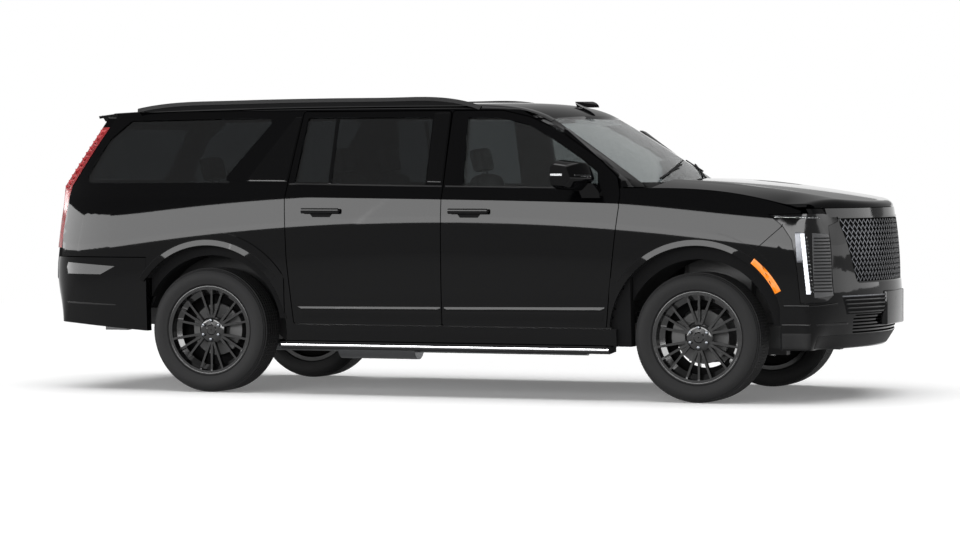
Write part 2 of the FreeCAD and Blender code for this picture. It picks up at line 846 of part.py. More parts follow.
def spoiler_solid():
    """Roof spoiler, seated on the liftgate's upper edge."""
    wires = []
    seat_z = 1850 + SEAT
    for y, reach in ((-715, 150), (-500, 196), (0, 215), (500, 196), (715, 150)):
        front = roof_rear_x(y) - gap - 2
        top = roof_z(front, y)
        step_x = tail_plan_x(y, 1850) - 8
        points = [Vector(front, y, top), Vector(front - reach, y, top - 18),
                  Vector(front - reach + 6, y, top - 36), Vector(step_x, y, seat_z),
                  Vector(front - 10, y, seat_z)]
        wires.append(Part.makePolygon(points + points[:1]))
    return Part.makeLoft(wires, True, True)


def rear_plan_wire(z, wall, front_x):
    """Closed plan section of the rear end at one height."""
    def half(shrink):
        side = [Vector(x, side_y(x, z) - shrink, z)
                for x in (front_x, front_x - 150, tail_x + 440, tail_x + 300)]
        side.append(Vector(tail_x + 176 + 0.5 * shrink, 905 - 0.8 * shrink, z))
        back = [Vector(tail_plan_x(y, z) + shrink, y, z) for y in (780, 560, 280)]
        return side + back
    def curve(shrink):
        left = half(shrink)
        right = [Vector(p.x, -p.y, p.z) for p in reversed(left)]
        centre = [Vector(tail_profile_x(z) + shrink, 0, z)]
        spline = Part.BSplineCurve()
        spline.interpolate(left + centre + right)
        return spline.toShape()
    outer, inner = curve(0), curve(wall)
    return Part.Wire([
        outer, Part.LineSegment(outer.Vertexes[-1].Point, inner.Vertexes[-1].Point).toShape(),
        inner, Part.LineSegment(inner.Vertexes[0].Point, outer.Vertexes[0].Point).toShape(),
    ])


def rear_bumper_solid():
    """Rear bumper cover, whose lower edge falls towards the wheels."""
    low_z, front_x = size("rear_cover_bottom"), rear_axle_x - size("rear_cover_behind_axle")
    sections = [rear_plan_wire(z, 70, front_x + 120) for z in steps(low_z - 6, 910, 5)]
    shell = Part.makeLoft(sections, True, False).common(rear_cover_space(gap))
    below = [(front_x + 20, low_z - 30), (front_x + 20, low_z), (tail_x + 294, low_z + 46),
             (tail_x - 60, low_z + 70), (tail_x - 60, low_z - 30)]
    shell = shell.cut(outline_prism(below, -outside_y, outside_y))
    gate = front_view_prism(grown(gate_outline(), gap), tail_x - 50, tail_x + 200)
    shell = shell.cut(gate)
    rail_end = tail_x + size("rail_end_inset") - SEAT
    for side in (1, -1):
        start = Vector(tail_x + 120, side * size("rail_spacing") / 2 - 30, 480)
        shell = shell.fuse(Part.makeBox(rail_end - start.x, 60, 34, start))
    return solid_of(shell)


def tail_lamp_section(z):
    corner_y = lamp_corner_y(z)
    x = tail_plan_x(corner_y, z)
    front_x = x + size("tail_lamp_reach")
    outer_y = side_y(front_x, z) - 1
    points = [Vector(x + 2, corner_y, z), Vector(x + 20, 0.45 * corner_y + 0.55 * outer_y, z),
              Vector(front_x, outer_y, z), Vector(front_x, corner_y, z)]
    return Part.makePolygon(points + points[:1])


def tail_lamp_solid():
    """Left tail lamp: a tall strip that wraps the rear corner."""
    heights = (960, 1150, size("waist_height"), 1480, 1620, 1780)
    pieces = [Part.makeLoft([tail_lamp_section(low), tail_lamp_section(high)], True, True)
              for low, high in zip(heights, heights[1:])]
    return solid_of(pieces[0].multiFuse(pieces[1:]))


# Outside fittings

def mirror_solid():
    """Left door mirror: a swept-back housing on a foot that stands on the door's shoulder."""
    z = size("mirror_height")
    inner_y = side_y(door_front_x - 200, z) + 52
    outer_y = half_width + size("mirror_reach")
    wires = []
    for part, scale in ((0, 0.78), (0.2, 1.0), (0.75, 0.98), (1, 0.74)):
        y = inner_y + (outer_y - inner_y) * part
        x = door_front_x - 245 - 95 * part
        points = [Vector(x - 84 * scale, y, z - 88 * scale), Vector(x + 40 * scale, y, z - 96 * scale),
                  Vector(x + 104 * scale, y, z - 30), Vector(x + 62 * scale, y, z + 72 * scale),
                  Vector(x - 84 * scale, y, z + 92 * scale)]
        wires.append(rounded(Part.makePolygon(points + points[:1]), 26))
    foot_x, foot_y = door_front_x - 232, side_y(door_front_x - 180, 1330) - 20
    points = [(foot_x, 1306), (foot_x + 122, 1306), (foot_x + 112, 1350), (foot_x + 70, 1400),
              (foot_x - 40, 1400)]
    foot = outline_prism(points, foot_y, foot_y + 92)
    return solid_of(Part.makeLoft(wires, True, False).fuse(foot))


def roof_rails_solid():
    """Rails along the roof, each seated at its two ends on the side wall."""
    rails = []
    for side in (1, -1):
        y = side * size("roof_rail_spread") / 2
        places = steps(tail_x + 690, 290, 9)
        points = [Vector(x, y, roof_z(x, y) + 40) for x in places]
        foot_z = door_top_z + 14 + SEAT
        points[0].z = foot_z
        points[-1].z = foot_z
        path = Part.BSplineCurve()
        path.interpolate(points)
        x, low, high = points[0].x, foot_z - 14, foot_z + 12
        corners = [Vector(x, y - 17, low), Vector(x, y + 17, low), Vector(x, y + 13, high),
                   Vector(x, y - 13, high)]
        profile = Part.makePolygon(corners + corners[:1])
        rails.append(Part.Wire([path.toShape()]).makePipeShell([profile], True, False))
    return Part.makeCompound(rails)


def running_board():
    """Left running board, fixed under the sill."""
    length, width = size("board_length"), size("board_width")
    thick, top = size("board_thickness"), sill_foot_z - SEAT
    middle_x = door_front_x - 55 - length / 2
    outer_y = half_width + 14
    points = [(outer_y - width, top), (outer_y - 12, top), (outer_y, top - 10),
              (outer_y - 3, top - thick + 8), (outer_y - 18, top - thick),
              (outer_y - width, top - thick + 10)]
    return front_view_prism(points, middle_x - length / 2, middle_x + length / 2)


def antenna_solid():
    x = size("header_ahead_of_mid") - 190
    wires = []
    for lift, scale in ((-6, 1.0), (18, 0.86), (34, 0.5)):
        z = roof_z(x, 0) + lift
        points = [Vector(x - 20 + 4 * (34 - lift) / 8, 0, z), Vector(x + 60, 32 * scale, z),
                  Vector(x + 60 + 90 * scale, 0, z), Vector(x + 60, -32 * scale, z)]
        curve = Part.BSplineCurve()
        curve.interpolate(points, PeriodicFlag=True)
        wires.append(Part.Wire([curve.toShape()]))
    return Part.makeLoft(wires, True, False)


# Wheels

SIDEWAYS = {
    1: Rotation(Vector(0, 1, 0), Vector(0, 0, 1), Vector(1, 0, 0), "XYZ"),
    -1: Rotation(Vector(0, -1, 0), Vector(0, 0, 1), Vector(-1, 0, 0), "XYZ"),
}


def new_body(label, axle, side):
    """A body whose own X runs out along the wheel's axle."""
    body = doc.addObject("PartDesign::Body", label)
    body.Label = label
    body.Placement = Placement(Vector(0, 0, 0), SIDEWAYS[side])
    body.setExpression(".Placement.Base.x", axle)
    body.setExpression(".Placement.Base.z", "Sizes.tyre_radius")
    parts.append(body)
    return body


def new_sketch(body, name, role):
    sketch = body.newObject("Sketcher::SketchObject", name)
    plane = [f for f in body.Origin.OriginFeatures if f.Role == role][0]
    sketch.AttachmentSupport = (plane, [""])
    sketch.MapMode = "FlatFace"
    return sketch


def draw(sketch, points):
    """A closed outline of straight lines, joined end to end."""
    first = sketch.GeometryCount
    for i, (x, y) in enumerate(points):
        nx, ny = points[(i + 1) % len(points)]
        sketch.addGeometry(Part.LineSegment(Vector(x, y, 0), Vector(nx, ny, 0)))
    for i in range(len(points)):
        after = first + (i + 1) % len(points)
        sketch.addConstraint(Sketcher.Constraint("Coincident", first + i, 2, after, 1))


def revolved(body, name, points):
    sketch = new_sketch(body, name + "Profile", "XY_Plane")
    draw(sketch, points)
    turn = body.newObject("PartDesign::Revolution", name)
    turn.Profile = sketch
    turn.ReferenceAxis = (sketch, ["H_Axis"])
    turn.Angle = 360
    sketch.Visibility = False
    return turn


FRONT_AXLE = "(Sizes.wheelbase + Sizes.rear_overhang - Sizes.front_overhang) / 2"
REAR_AXLE = "(Sizes.rear_overhang - Sizes.wheelbase - Sizes.front_overhang) / 2"


def tyre(label, axle, side):
    body = new_body(label, axle, side)
    middle = size("track") / 2
    half = size("tyre_width") / 2
    inner, outer = size("rim_bead_radius") + 0.3, size("tyre_radius")
    seat = size("rim_width") / 2 - 1
    bead_top = inner + size("rim_lip_height") + 1
    revolved(body, "Carcass", [
        (middle - seat, inner), (middle - seat, bead_top), (middle - half, inner + 62),
        (middle - half + 10, outer - 34), (middle - half + 44, outer),
        (middle + half - 44, outer), (middle + half - 10, outer - 34),
        (middle + half, inner + 62), (middle + seat, bead_top), (middle + seat, inner),
    ])
    return body


def rim(label, axle, side):
    """Wheel: barrel with its lips, hub face, and spokes in groups of three."""
    body = new_body(label, axle, side)
    middle = size("track") / 2
    half = size("rim_width") / 2
    bead, wall, lip = size("rim_bead_radius"), size("rim_wall"), size("rim_lip_height")
    drop = bead - 34
    revolved(body, "Barrel", [
        (middle - half - 8, bead + lip), (middle - half, bead + lip), (middle - half, bead),
        (middle - 30, bead), (middle - 18, drop), (middle + 34, drop), (middle + 46, bead),
        (middle + half, bead), (middle + half, bead + lip), (middle + half + 8, bead + lip),
        (middle + half + 8, bead - wall), (middle + 50, bead - wall), (middle + 38, drop - wall),
        (middle - 22, drop - wall), (middle - 34, bead - wall), (middle - half - 8, bead - wall),
    ])
    face = middle + half - size("hub_face_inset") + 30
    hub = size("hub_radius")
    revolved(body, "Hub", [
        (face - 52, 30), (face - 52, hub), (face - 8, hub), (face, hub - 12),
        (face + 2, size("cap_radius")), (face + 8, size("cap_radius") - 6), (face + 8, 4),
        (face - 30, 4), (face - 30, 30),
    ])
    group = new_sketch(body, "SpokeGroupOutline", "YZ_Plane")
    group.AttachmentOffset = Placement(Vector(0, 0, face - size("spoke_depth")), Rotation())
    inner, outer = hub - 6, bead - wall + 3
    for root, tip in ((-0.16, -0.30), (0.0, 0.0), (0.16, 0.30)):
        a = Vector(math.cos(root), math.sin(root), 0) * inner
        b = Vector(math.cos(tip), math.sin(tip), 0) * outer
        along = (b - a).normalize()
        across = Vector(-along.y, along.x, 0)
        wide = size("spoke_width") / 2
        quad = [a - across * wide, b - across * wide * 0.8, b + across * wide * 0.8, a + across * wide]
        draw(group, [(p.x, p.y) for p in quad])
    pad = body.newObject("PartDesign::Pad", "SpokeGroup")
    pad.Profile = group
    pad.setExpression("Length", "Sizes.spoke_depth")
    body.Tip = pad
    turn = body.newObject("PartDesign::PolarPattern", "Spokes")
    turn.Originals = [pad]
    turn.Axis = (new_axis(body), [""])
    turn.Angle = 360
    turn.setExpression("Occurrences", "Sizes.spoke_groups")
    body.Tip = turn
    return body


def new_axis(body):
    return [f for f in body.Origin.OriginFeatures if f.Role == "X_Axis"][0]


def ring_piece(axle_x, side, inner_r, outer_r, low_y, high_y):
    """A ring about a wheel's axle between two distances from the centre plane."""
    def disc(radius):
        return Part.makeCylinder(radius, high_y - low_y, Vector(axle_x, side * low_y, axle_z),
                                 Vector(0, side, 0))
    return disc(outer_r).cut(disc(inner_r)) if inner_r else disc(outer_r)


def brake_and_hub(axle_x, side):
    """Brake disc, hub and caliper, inside the wheel."""
    face = size("track") / 2 + size("rim_width") / 2 - size("hub_face_inset") + 30
    disc_y = face - 52 - 70
    hub = ring_piece(axle_x, side, 0, 62, disc_y - 90, face - 52 - 0.3)
    disc = ring_piece(axle_x, side, 0, size("disc_radius"), disc_y, disc_y + size("disc_thickness"))
    caliper = ring_piece(axle_x, side, size("disc_radius") - 62, size("disc_radius") + 26,
                         disc_y - 36, disc_y + size("disc_thickness") + 34)
    behind = -1 if axle_x > 0 else 1
    corner = Vector(axle_x + (behind - 1) * 120, min(side * 500, side * 1000), axle_z - 50)
    wedge = Part.makeBox(240, 500, 150, corner)
    return hub.fuse(disc).fuse(caliper.common(wedge))


def knuckle(side):
    """Steering knuckle with its upright, turning on the kingpin line."""
    y = kingpin_y
    upright = Part.makeCylinder(34, 260, Vector(front_axle_x, side * y, axle_z - 130))
    kingpin = Part.makeCylinder(size("kingpin_radius"), 336,
                                Vector(front_axle_x, side * y, axle_z - 168))
    upright = upright.fuse(kingpin)
    stub = ring_piece(front_axle_x, side, 0, 50, y - 10, y + 120)
    return solid_of(brake_and_hub(front_axle_x, side).fuse(upright).fuse(stub))


def front_suspension(side):
    """Control arms from the frame to the knuckle, and the coil strut."""
    inner = size("rail_spacing") / 2 - 30
    outer = kingpin_y
    shapes = []
    for z in (axle_z - 152, axle_z + 152):
        x = front_axle_x
        points = [(x - 190, inner), (x - 34, outer - 20), (x - 34, outer + 24),
                  (x + 34, outer + 24), (x + 34, outer - 20), (x + 190, inner),
                  (front_axle_x + 130, inner), (front_axle_x, outer - 66), (front_axle_x - 130, inner)]
        wire = Part.makePolygon([Vector(x, side * y, z - 16) for x, y in points + points[:1]])
        arm = Part.Face(wire).extrude(Vector(0, 0, 32))
        bore = Part.makeCylinder(size("kingpin_radius") + SEAT, 60,
                                 Vector(front_axle_x, side * outer, z - 30))
        shapes.append(arm.cut(bore))
    return shapes


def frame_rail(side):
    """One rail of the frame, which passes over the rear axle."""
    low_x, high_x = tail_x + size("rail_end_inset"), nose_x - 250
    bottom, top = size("rail_bottom"), size("rail_bottom") + size("rail_height")
    arch_low, arch_high = axle_z + 55, size("floor_height") - 4
    x = rear_axle_x
    tail_low, tail_high = bottom + 95, arch_high - 20
    points = [(low_x, tail_low), (x - 330, tail_low), (x - 170, arch_low), (x + 170, arch_low),
              (x + 330, bottom), (high_x, bottom), (high_x, top), (x + 360, top),
              (x + 240, arch_high), (x - 240, arch_high), (x - 360, tail_high),
              (low_x, tail_high)]
    y = side * size("rail_spacing") / 2
    return outline_prism(points, y - size("rail_width") / 2, y + size("rail_width") / 2)


def frame_solid():
    bottom, tall = size("rail_bottom"), size("rail_height")
    spread = size("rail_spacing") / 2
    frame = frame_rail(1).fuse(frame_rail(-1))
    wide = size("crossmember_width")
    for x in (rear_axle_x - 430, rear_axle_x + 400, 150, front_axle_x - 420,
              front_axle_x + 330, nose_x - 250 - wide):
        frame = frame.fuse(Part.makeBox(wide, 2 * spread, tall - 50,
                                        Vector(x, -spread, bottom + 25)))
    rear_member = Part.makeBox(wide, 2 * spread, tall - 50, Vector(tail_x + 225, -spread, bottom + 85))
    frame = frame.fuse(rear_member)
    mount_top = size("floor_height") - SEAT
    for side in (1, -1):
        for arm in front_suspension(side):
            frame = frame.fuse(arm)
        for x in (tail_x + 360, rear_axle_x + 480, -200, front_axle_x - 620):
            mount = Part.makeCylinder(36, mount_top - bottom - tall + 10,
                                      Vector(x, side * spread, bottom + tall - 10))
            frame = frame.fuse(mount)
        tower = Part.makeBox(420, 90, 700, Vector(front_axle_x - 210, side * spread - 45, bottom - 90))
        frame = frame.fuse(tower)
    opening, wall = size("hitch_opening"), size("hitch_wall")
    outer = opening + 2 * wall
    z = bottom + 60
    tube = Part.makeBox(size("hitch_length"), outer, outer, Vector(tail_x + 60, -outer / 2, z - outer / 2))
    hole = Part.makeBox(size("hitch_length") + 10, opening, opening,
                        Vector(tail_x + 55, -opening / 2, z - opening / 2))
    pin = Part.makeCylinder(size("pin_bore_radius"), 200, Vector(tail_x + 110, -100, z), Vector(0, 1, 0))
    frame = frame.fuse(tube).cut(hole).cut(pin)
    return solid_of(frame.removeSplitter())


def rear_axle_solid():
    """Rear suspension carrier, half shafts and uprights."""
    case = Part.makeCylinder(120, 210, Vector(rear_axle_x, -105, axle_z), Vector(0, 1, 0))
    y = size("track") / 2 - 120
    tube = Part.makeCylinder(size("axle_tube_radius"), 2 * y, Vector(rear_axle_x, -y, axle_z),
                             Vector(0, 1, 0))
    axle = case.fuse(tube)
    rail_arch_z = axle_z + 55
    for side in (1, -1):
        spring = Part.makeCylinder(34, rail_arch_z - SEAT - axle_z - 20,
                                   Vector(rear_axle_x, side * size("rail_spacing") / 2, axle_z + 20))
        axle = axle.fuse(spring).fuse(brake_and_hub(rear_axle_x, side))
    return solid_of(axle)


def floor_solid():
    low_x, high_x = tail_x + 300, door_front_x - 10
    half = side_y(0, 400) - size("door_thickness") - SEAT
    z, thick = size("floor_height"), size("floor_thickness")
    floor = Part.makeBox(high_x - low_x, 2 * half, thick, Vector(low_x, -half, z))
    top = size("cowl_height") - size("cowl_depth") - 2 * SEAT
    wall = Part.makeBox(thick, 2 * half, top - z, Vector(high_x - thick, -half, z))
    floor = floor.fuse(wall)
    for side in (1, -1):
        house = Part.makeCylinder(500, 400, Vector(rear_axle_x, side * 690, axle_z), Vector(0, side, 0))
        arch = Part.makeCylinder(516, 190, Vector(rear_axle_x, side * 676, axle_z), Vector(0, side, 0))
        above = Part.makeBox(1200, 2000, 600, Vector(rear_axle_x - 600, -1000, z))
        floor = floor.fuse(arch.common(above)).cut(house)
        edge = Part.makeBox(door_front_x + 980, 26, z - 400, Vector(-1000, side * (half - 13) - 13, 400))
        floor = floor.fuse(edge)
    return solid_of(floor)


def cushion_block(depth, width, tall):
    """A block with its long edges bevelled, lying from the origin backwards."""
    bevel = 32
    points = [(0, bevel), (0, tall - bevel), (-bevel, tall), (bevel - depth, tall),
              (-depth, tall - bevel), (-depth, bevel), (bevel - depth, 0), (-bevel, 0)]
    return outline_prism(points, -width / 2, width / 2)


def seat(x, y, width, back_height):
    """One seat: base, cushion, leaning back and head restraint."""
    z = size("floor_height") + size("floor_thickness") + SEAT
    top = z + size("seat_cushion_height")
    thick, depth = size("seat_cushion_thickness"), size("seat_depth")
    base = Part.makeBox(depth - 120, width - 140, top - thick - z + 1,
                        Vector(x - depth + 60, y - width / 2 + 70, z))
    cushion = cushion_block(depth, width, thick).translated(Vector(x, y, top - thick))
    back = cushion_block(size("seat_back_thickness"), width, back_height)
    head = cushion_block(95, 270, 170).translated(Vector(-15, 0, back_height + 34))
    posts = Part.makeBox(20, 150, 80, Vector(-70, -75, back_height - 20))
    upright = back.fuse(head).fuse(posts)
    lean = Rotation(Vector(0, 1, 0), -14)
    upright.Placement = Placement(Vector(x - depth + 90, y, top - thick + 40), lean)
    return solid_of(base.fuse(cushion).fuse(upright))


def seat_row(x, places, width, back_height):
    return Part.makeCompound([seat(x, y, width, back_height) for y in places])


def dashboard_solid():
    points = [(door_front_x - 31, 1180), (door_front_x - 31, 1350), (door_front_x - 180, 1330),
              (door_front_x - 330, 1260), (door_front_x - 350, 1120), (door_front_x - 260, 1010),
              (door_front_x - 31, 980)]
    dash = outline_prism(points, -840, 840, 20)
    base_z = size("floor_height") + size("floor_thickness") + SEAT
    console = Part.makeBox(820, 230, 380, Vector(door_front_x - 1050, -115, base_z))
    neck = Part.makeBox(230, 230, 480, Vector(door_front_x - 300, -115, base_z))
    return solid_of(dash.fuse(console).fuse(neck))


STEER_X = door_front_x - 430
STEER_Z = 1165
STEER_Y = 380


def steering_wheel_solid():
    radius, thick = size("steering_wheel_radius"), size("steering_rim_radius")
    axis = Vector(-0.92, 0, 0.392).normalize()
    centre = Vector(STEER_X, STEER_Y, STEER_Z)
    turns = [2 * math.pi * i / 12 for i in range(12)]
    corners = [Vector(radius + thick * math.cos(a), 0, thick * math.sin(a)) for a in turns]
    section = Part.Face(Part.makePolygon(corners + corners[:1]))
    ring = section.revolve(Vector(0, 0, 0), Vector(0, 0, 1), 360)
    ring.Placement = Placement(centre, Rotation(Vector(0, 0, 1), axis))
    hub = Part.makeCylinder(70, 46, centre - axis * 34, axis)
    shape = ring.fuse(hub)
    for angle in (0, 180, 270):
        spoke = Part.makeBox(radius, 44, 22, Vector(10, -22, -11))
        turn = Rotation(Vector(0, 0, 1), axis) * Rotation(Vector(0, 0, 1), angle)
        spoke.Placement = Placement(centre, turn)
        shape = shape.fuse(spoke)
    column = Part.makeCylinder(24, 54, centre - axis * 81.7, axis)
    return solid_of(shape.fuse(column))


def engine_solid():
    """The engine as one block, with the mounts that it hangs by in the frame."""
    length, width, tall = size("engine_length"), size("engine_width"), size("engine_height")
    block = Part.makeBox(length, width, tall,
                         Vector(front_axle_x - 300, -width / 2, size("engine_bottom")))
    reach = size("rail_spacing") / 2 - 45 - SEAT
    mounts = Part.makeBox(70, 2 * reach, 50, Vector(front_axle_x - 60, -reach, axle_z + 50))
    return solid_of(block.fuse(mounts))


def exhaust_solid():
    """Exhaust with its hangers along the right of the frame, and the fuel tank."""
    y, z, radius = -285, 290, 38
    pipe = Part.makeCylinder(radius, 2920, Vector(rear_axle_x - 480, y, z), Vector(1, 0, 0))
    silencer = Part.makeCylinder(95, 560, Vector(-900, y, z + 10), Vector(1, 0, 0))
    exhaust = pipe.fuse(silencer)
    crossmember_z = size("rail_bottom") + 25
    for x in (rear_axle_x - 390, 190):
        hanger = Part.makeBox(20, 20, crossmember_z - SEAT - z - 30, Vector(x, y - 10, z + 30))
        exhaust = exhaust.fuse(hanger)
    tank_top = 510
    tank = Part.makeBox(1050, 300, tank_top - 300, Vector(-1000, 60, 300))
    for x in (-900, -90):
        strap = Part.makeBox(40, 260, size("floor_height") - SEAT - tank_top + 1,
                             Vector(x, 80, tank_top - 1))
        tank = tank.fuse(strap)
    return [solid_of(exhaust), solid_of(tank)]


def quarter_glass_solid():
    window = quarter_window_outline()
    return side_glass(window, 30)


# The vehicle, piece by piece

SIDES = (("left", 1), ("right", -1))


def both(label, shape):
    """A left-hand piece and its mirror image, as two nodes."""
    keep(label + "_left", shape)
    keep(label + "_right", mirrored(shape))


def pair(label, shape):
    """A left-hand piece and its mirror image, in one node."""
    keep(label, Part.makeCompound([shape, mirrored(shape)]))


keep("frame", frame_solid())
keep("floor", floor_solid())
both("body_side", body_side_solid().fuse(a_pillar_solid()))
both("fender", fender_solid())
keep("roof", roof_solid())
keep("cowl", cowl_solid())
keep("windscreen", windscreen_solid())
keep("hood", hood_solid())
keep("bumper_front", front_bumper_solid())
keep("grille", grille_solid())
pair("headlamps", headlamp_solid())
keep("bumper_rear", rear_bumper_solid())
pair("tail_lamps", tail_lamp_solid())
keep("liftgate", liftgate_solid())
keep("liftgate_glass", liftgate_glass_solid())
keep("spoiler", spoiler_solid())
door = door_solid(front_door_outline(), front_window_outline())
both("front_door", door)
both("rear_door", door_solid(rear_door_outline(), rear_window_outline()))
both("front_door_glass", side_glass(front_window_outline()))
both("rear_door_glass", side_glass(rear_window_outline()))
pair("quarter_glass", quarter_glass_solid())
mirror = mirror_solid().cut(door.translated(Vector(0, SEAT, 0)))
glass_edge = outline_prism(grown(front_window_outline(), 1), inside_y, half_width - 60)
both("mirror", solid_of(mirror.cut(glass_edge)))
keep("roof_rails", roof_rails_solid().cut(roof_solid()))
keep("antenna", solid_of(antenna_solid().cut(roof_solid())))
pair("running_boards", running_board())
for end, axle in (("front", FRONT_AXLE), ("rear", REAR_AXLE)):
    for word, side in SIDES:
        tyre("tyre_%s_%s" % (end, word), axle, side)
        rim("rim_%s_%s" % (end, word), axle, side)
for word, side in SIDES:
    keep("knuckle_" + word, knuckle(side))
keep("rear_axle", rear_axle_solid())
keep("engine", engine_solid())
keep("front_seats", seat_row(door_front_x - 760, (-380, 380), size("seat_width"), size("seat_back_height")))
keep("second_seats", seat_row(-150, (-400, 400), size("seat_width"), size("seat_back_height")))
keep("third_seat", seat_row(-1180, (-320, 320), size("seat_width") - 20, size("seat_back_height") - 60))
keep("dashboard", dashboard_solid())
keep("steering_wheel", steering_wheel_solid())
keep("exhaust", Part.makeCompound(exhaust_solid()))

doc.recompute()
failed = [o.Label for o in doc.Objects if set(o.State) & {"Invalid", "Error"}]
failed += [o.Label for o in parts if o.Shape.isNull() or not o.Shape.isValid()]
if failed:
    raise RuntimeError("not sound: " + ", ".join(failed))
os.makedirs("parts", exist_ok=True)
for piece in parts:
    piece.Shape.exportStep("parts/%s.step" % piece.Label)
    box = piece.Shape.BoundBox
    print("%-26s %d solids %9.3f litres  x %.0f..%.0f y %.0f..%.0f z %.0f..%.0f" % (
        piece.Label, len(piece.Shape.Solids), piece.Shape.Volume / 1e6,
        box.XMin, box.XMax, box.YMin, box.YMax, box.ZMin, box.ZMax))
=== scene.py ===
# Long-wheelbase sport utility vehicle in gloss black, standing in a pale studio.
# Places come from the frame. Lengths are in metres, but in millimetres where a name ends in
# _mm, in the body surfaces, and in the corners of laid pieces and the sizes of bars.
import json
import math

import bmesh
import bpy
from mathutils import Matrix, Vector
from mathutils.bvhtree import BVHTree


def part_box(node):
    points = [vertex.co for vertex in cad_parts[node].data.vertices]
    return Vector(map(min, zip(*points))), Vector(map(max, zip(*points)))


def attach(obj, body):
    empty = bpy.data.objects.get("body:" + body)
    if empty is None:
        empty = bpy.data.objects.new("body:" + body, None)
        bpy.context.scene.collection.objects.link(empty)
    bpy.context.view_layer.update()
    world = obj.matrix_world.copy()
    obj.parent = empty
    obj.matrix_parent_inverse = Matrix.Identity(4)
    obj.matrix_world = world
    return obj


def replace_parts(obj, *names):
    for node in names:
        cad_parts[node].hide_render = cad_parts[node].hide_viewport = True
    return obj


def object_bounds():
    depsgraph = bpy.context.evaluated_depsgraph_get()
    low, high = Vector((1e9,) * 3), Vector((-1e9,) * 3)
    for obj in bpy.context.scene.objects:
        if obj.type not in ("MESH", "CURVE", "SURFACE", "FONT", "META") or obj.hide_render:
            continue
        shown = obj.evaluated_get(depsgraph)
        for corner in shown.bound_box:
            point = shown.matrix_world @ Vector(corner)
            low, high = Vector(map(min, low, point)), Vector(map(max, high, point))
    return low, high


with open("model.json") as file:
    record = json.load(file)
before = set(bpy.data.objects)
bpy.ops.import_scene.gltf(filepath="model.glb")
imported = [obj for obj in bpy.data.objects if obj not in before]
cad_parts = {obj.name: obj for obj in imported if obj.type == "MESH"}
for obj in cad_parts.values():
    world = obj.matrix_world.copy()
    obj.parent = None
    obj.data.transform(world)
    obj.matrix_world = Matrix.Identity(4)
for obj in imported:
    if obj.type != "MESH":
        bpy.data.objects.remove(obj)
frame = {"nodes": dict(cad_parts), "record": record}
nodes = frame["nodes"]
cad_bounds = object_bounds()
MM = 0.001
SIDES = (("left", 1), ("right", -1))


def middle(node):
    """Centre of a CAD node at rest."""
    low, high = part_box(node)
    return (Vector(low) + Vector(high)) / 2


front_axle = middle("tyre_front_left")
rear_axle = middle("tyre_rear_left")
tyre_low, tyre_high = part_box("tyre_front_left")
tyre_radius = (tyre_high[2] - tyre_low[2]) / 2
tyre_width = tyre_high[1] - tyre_low[1]

# Camera, at the height and angle that the photograph was taken from

camera_data = bpy.data.cameras.new("camera")
camera_data.sensor_width = 36
camera_data.lens = 130.79
camera_data.clip_end = 300
camera = bpy.data.objects.new("camera", camera_data)
bpy.context.scene.collection.objects.link(camera)
camera_turn = math.radians(20.378)
camera_drop = math.radians(1.71)
camera_roll = math.radians(-0.103)
camera.rotation_euler = (
    Matrix.Rotation(camera_turn, 3, "Z")
    @ Matrix.Rotation(math.radians(90) - camera_drop, 3, "X")
    @ Matrix.Rotation(camera_roll, 3, "Z")
).to_euler()
camera.location = (8.2518, -22.2355, 1.5126)
bpy.context.scene.camera = camera
bpy.context.scene.view_settings.view_transform = "Standard"

# Body surfaces in millimetres, as the panels were drawn

front_axle_mm = front_axle.x / MM
rear_axle_mm = rear_axle.x / MM
wheel_z_mm = tyre_radius / MM
nose_mm = 2883
tail_mm = -2883
half_width_mm = 1018
fender_break_mm = front_axle_mm - 332
quarter_break_mm = rear_axle_mm + 75
widest_height_mm = 1088
crease_height_mm = 1306
belt_height_mm = 1373
waist_height_mm = 1380
side_bow = 2.9e-4
nose_bow = 3.24e-4
shoulder_slope = 0.45
tumblehome = 0.32
flare_mm = 9
header_mm = 888
roof_height_mm = 1937
roof_crown_mm = 22
hood_half_mm = 946
hood_flat_mm = 600
hood_lip_mm = 1243
# Each wheel arch: its axle, its radius, and the angles between which it has a flare
ARCHES = {"front": (front_axle_mm, 585, 54, 146), "rear": (rear_axle_mm, 566, 36, 146)}


def plan_half_width(x):
    """Half width in plan, which closes in towards the nose and the tail."""
    ahead = max(0.0, x - fender_break_mm) / 750
    behind = max(0.0, quarter_break_mm - x) / 933
    return half_width_mm - 13 * ahead ** 5.6 - 18 * behind ** 6.6


def widest_z(x):
    return widest_height_mm - 3.4e-5 * (x - 150) ** 2


def crease_z(x):
    run = max(0.0, (x + 900) / 1000)
    return crease_height_mm - 12 * run - 0.45 * run ** 4


def belt_z(x):
    return belt_height_mm - 0.0155 * x


def zone_at(x, z):
    """The stretch of the side that a height lies on, counted from the sill."""
    return sum(z > line(x) for line in (widest_z, crease_z, belt_z))


def side_y(x, z, zone=None):
    """Half width of the body's side at a place, on one of its four stretches."""
    zone = zone_at(x, z) if zone is None else zone
    plan, widest, crease, belt = plan_half_width(x), widest_z(x), crease_z(x), belt_z(x)
    if zone == 0:
        return plan - 28 * ((widest - z) / 630) ** 2
    if zone == 1:
        return plan - side_bow * (z - widest) ** 2
    at_crease = plan - side_bow * (crease - widest) ** 2
    if zone == 2:
        return at_crease - shoulder_slope * (z - crease)
    rise = z - belt
    at_belt = at_crease - shoulder_slope * (belt - crease)
    return at_belt - tumblehome * rise - 4e-5 * rise ** 2


def roof_z(x, y):
    """Height of the roof skin."""
    run = x + 2.6e-4 * y * y
    z = roof_height_mm - roof_crown_mm * (abs(y) / 760) ** 2.2
    if run > 0:
        return z - 95 * (run / header_mm) ** 5
    return z - 12 * (-run / 1400) ** 2.67


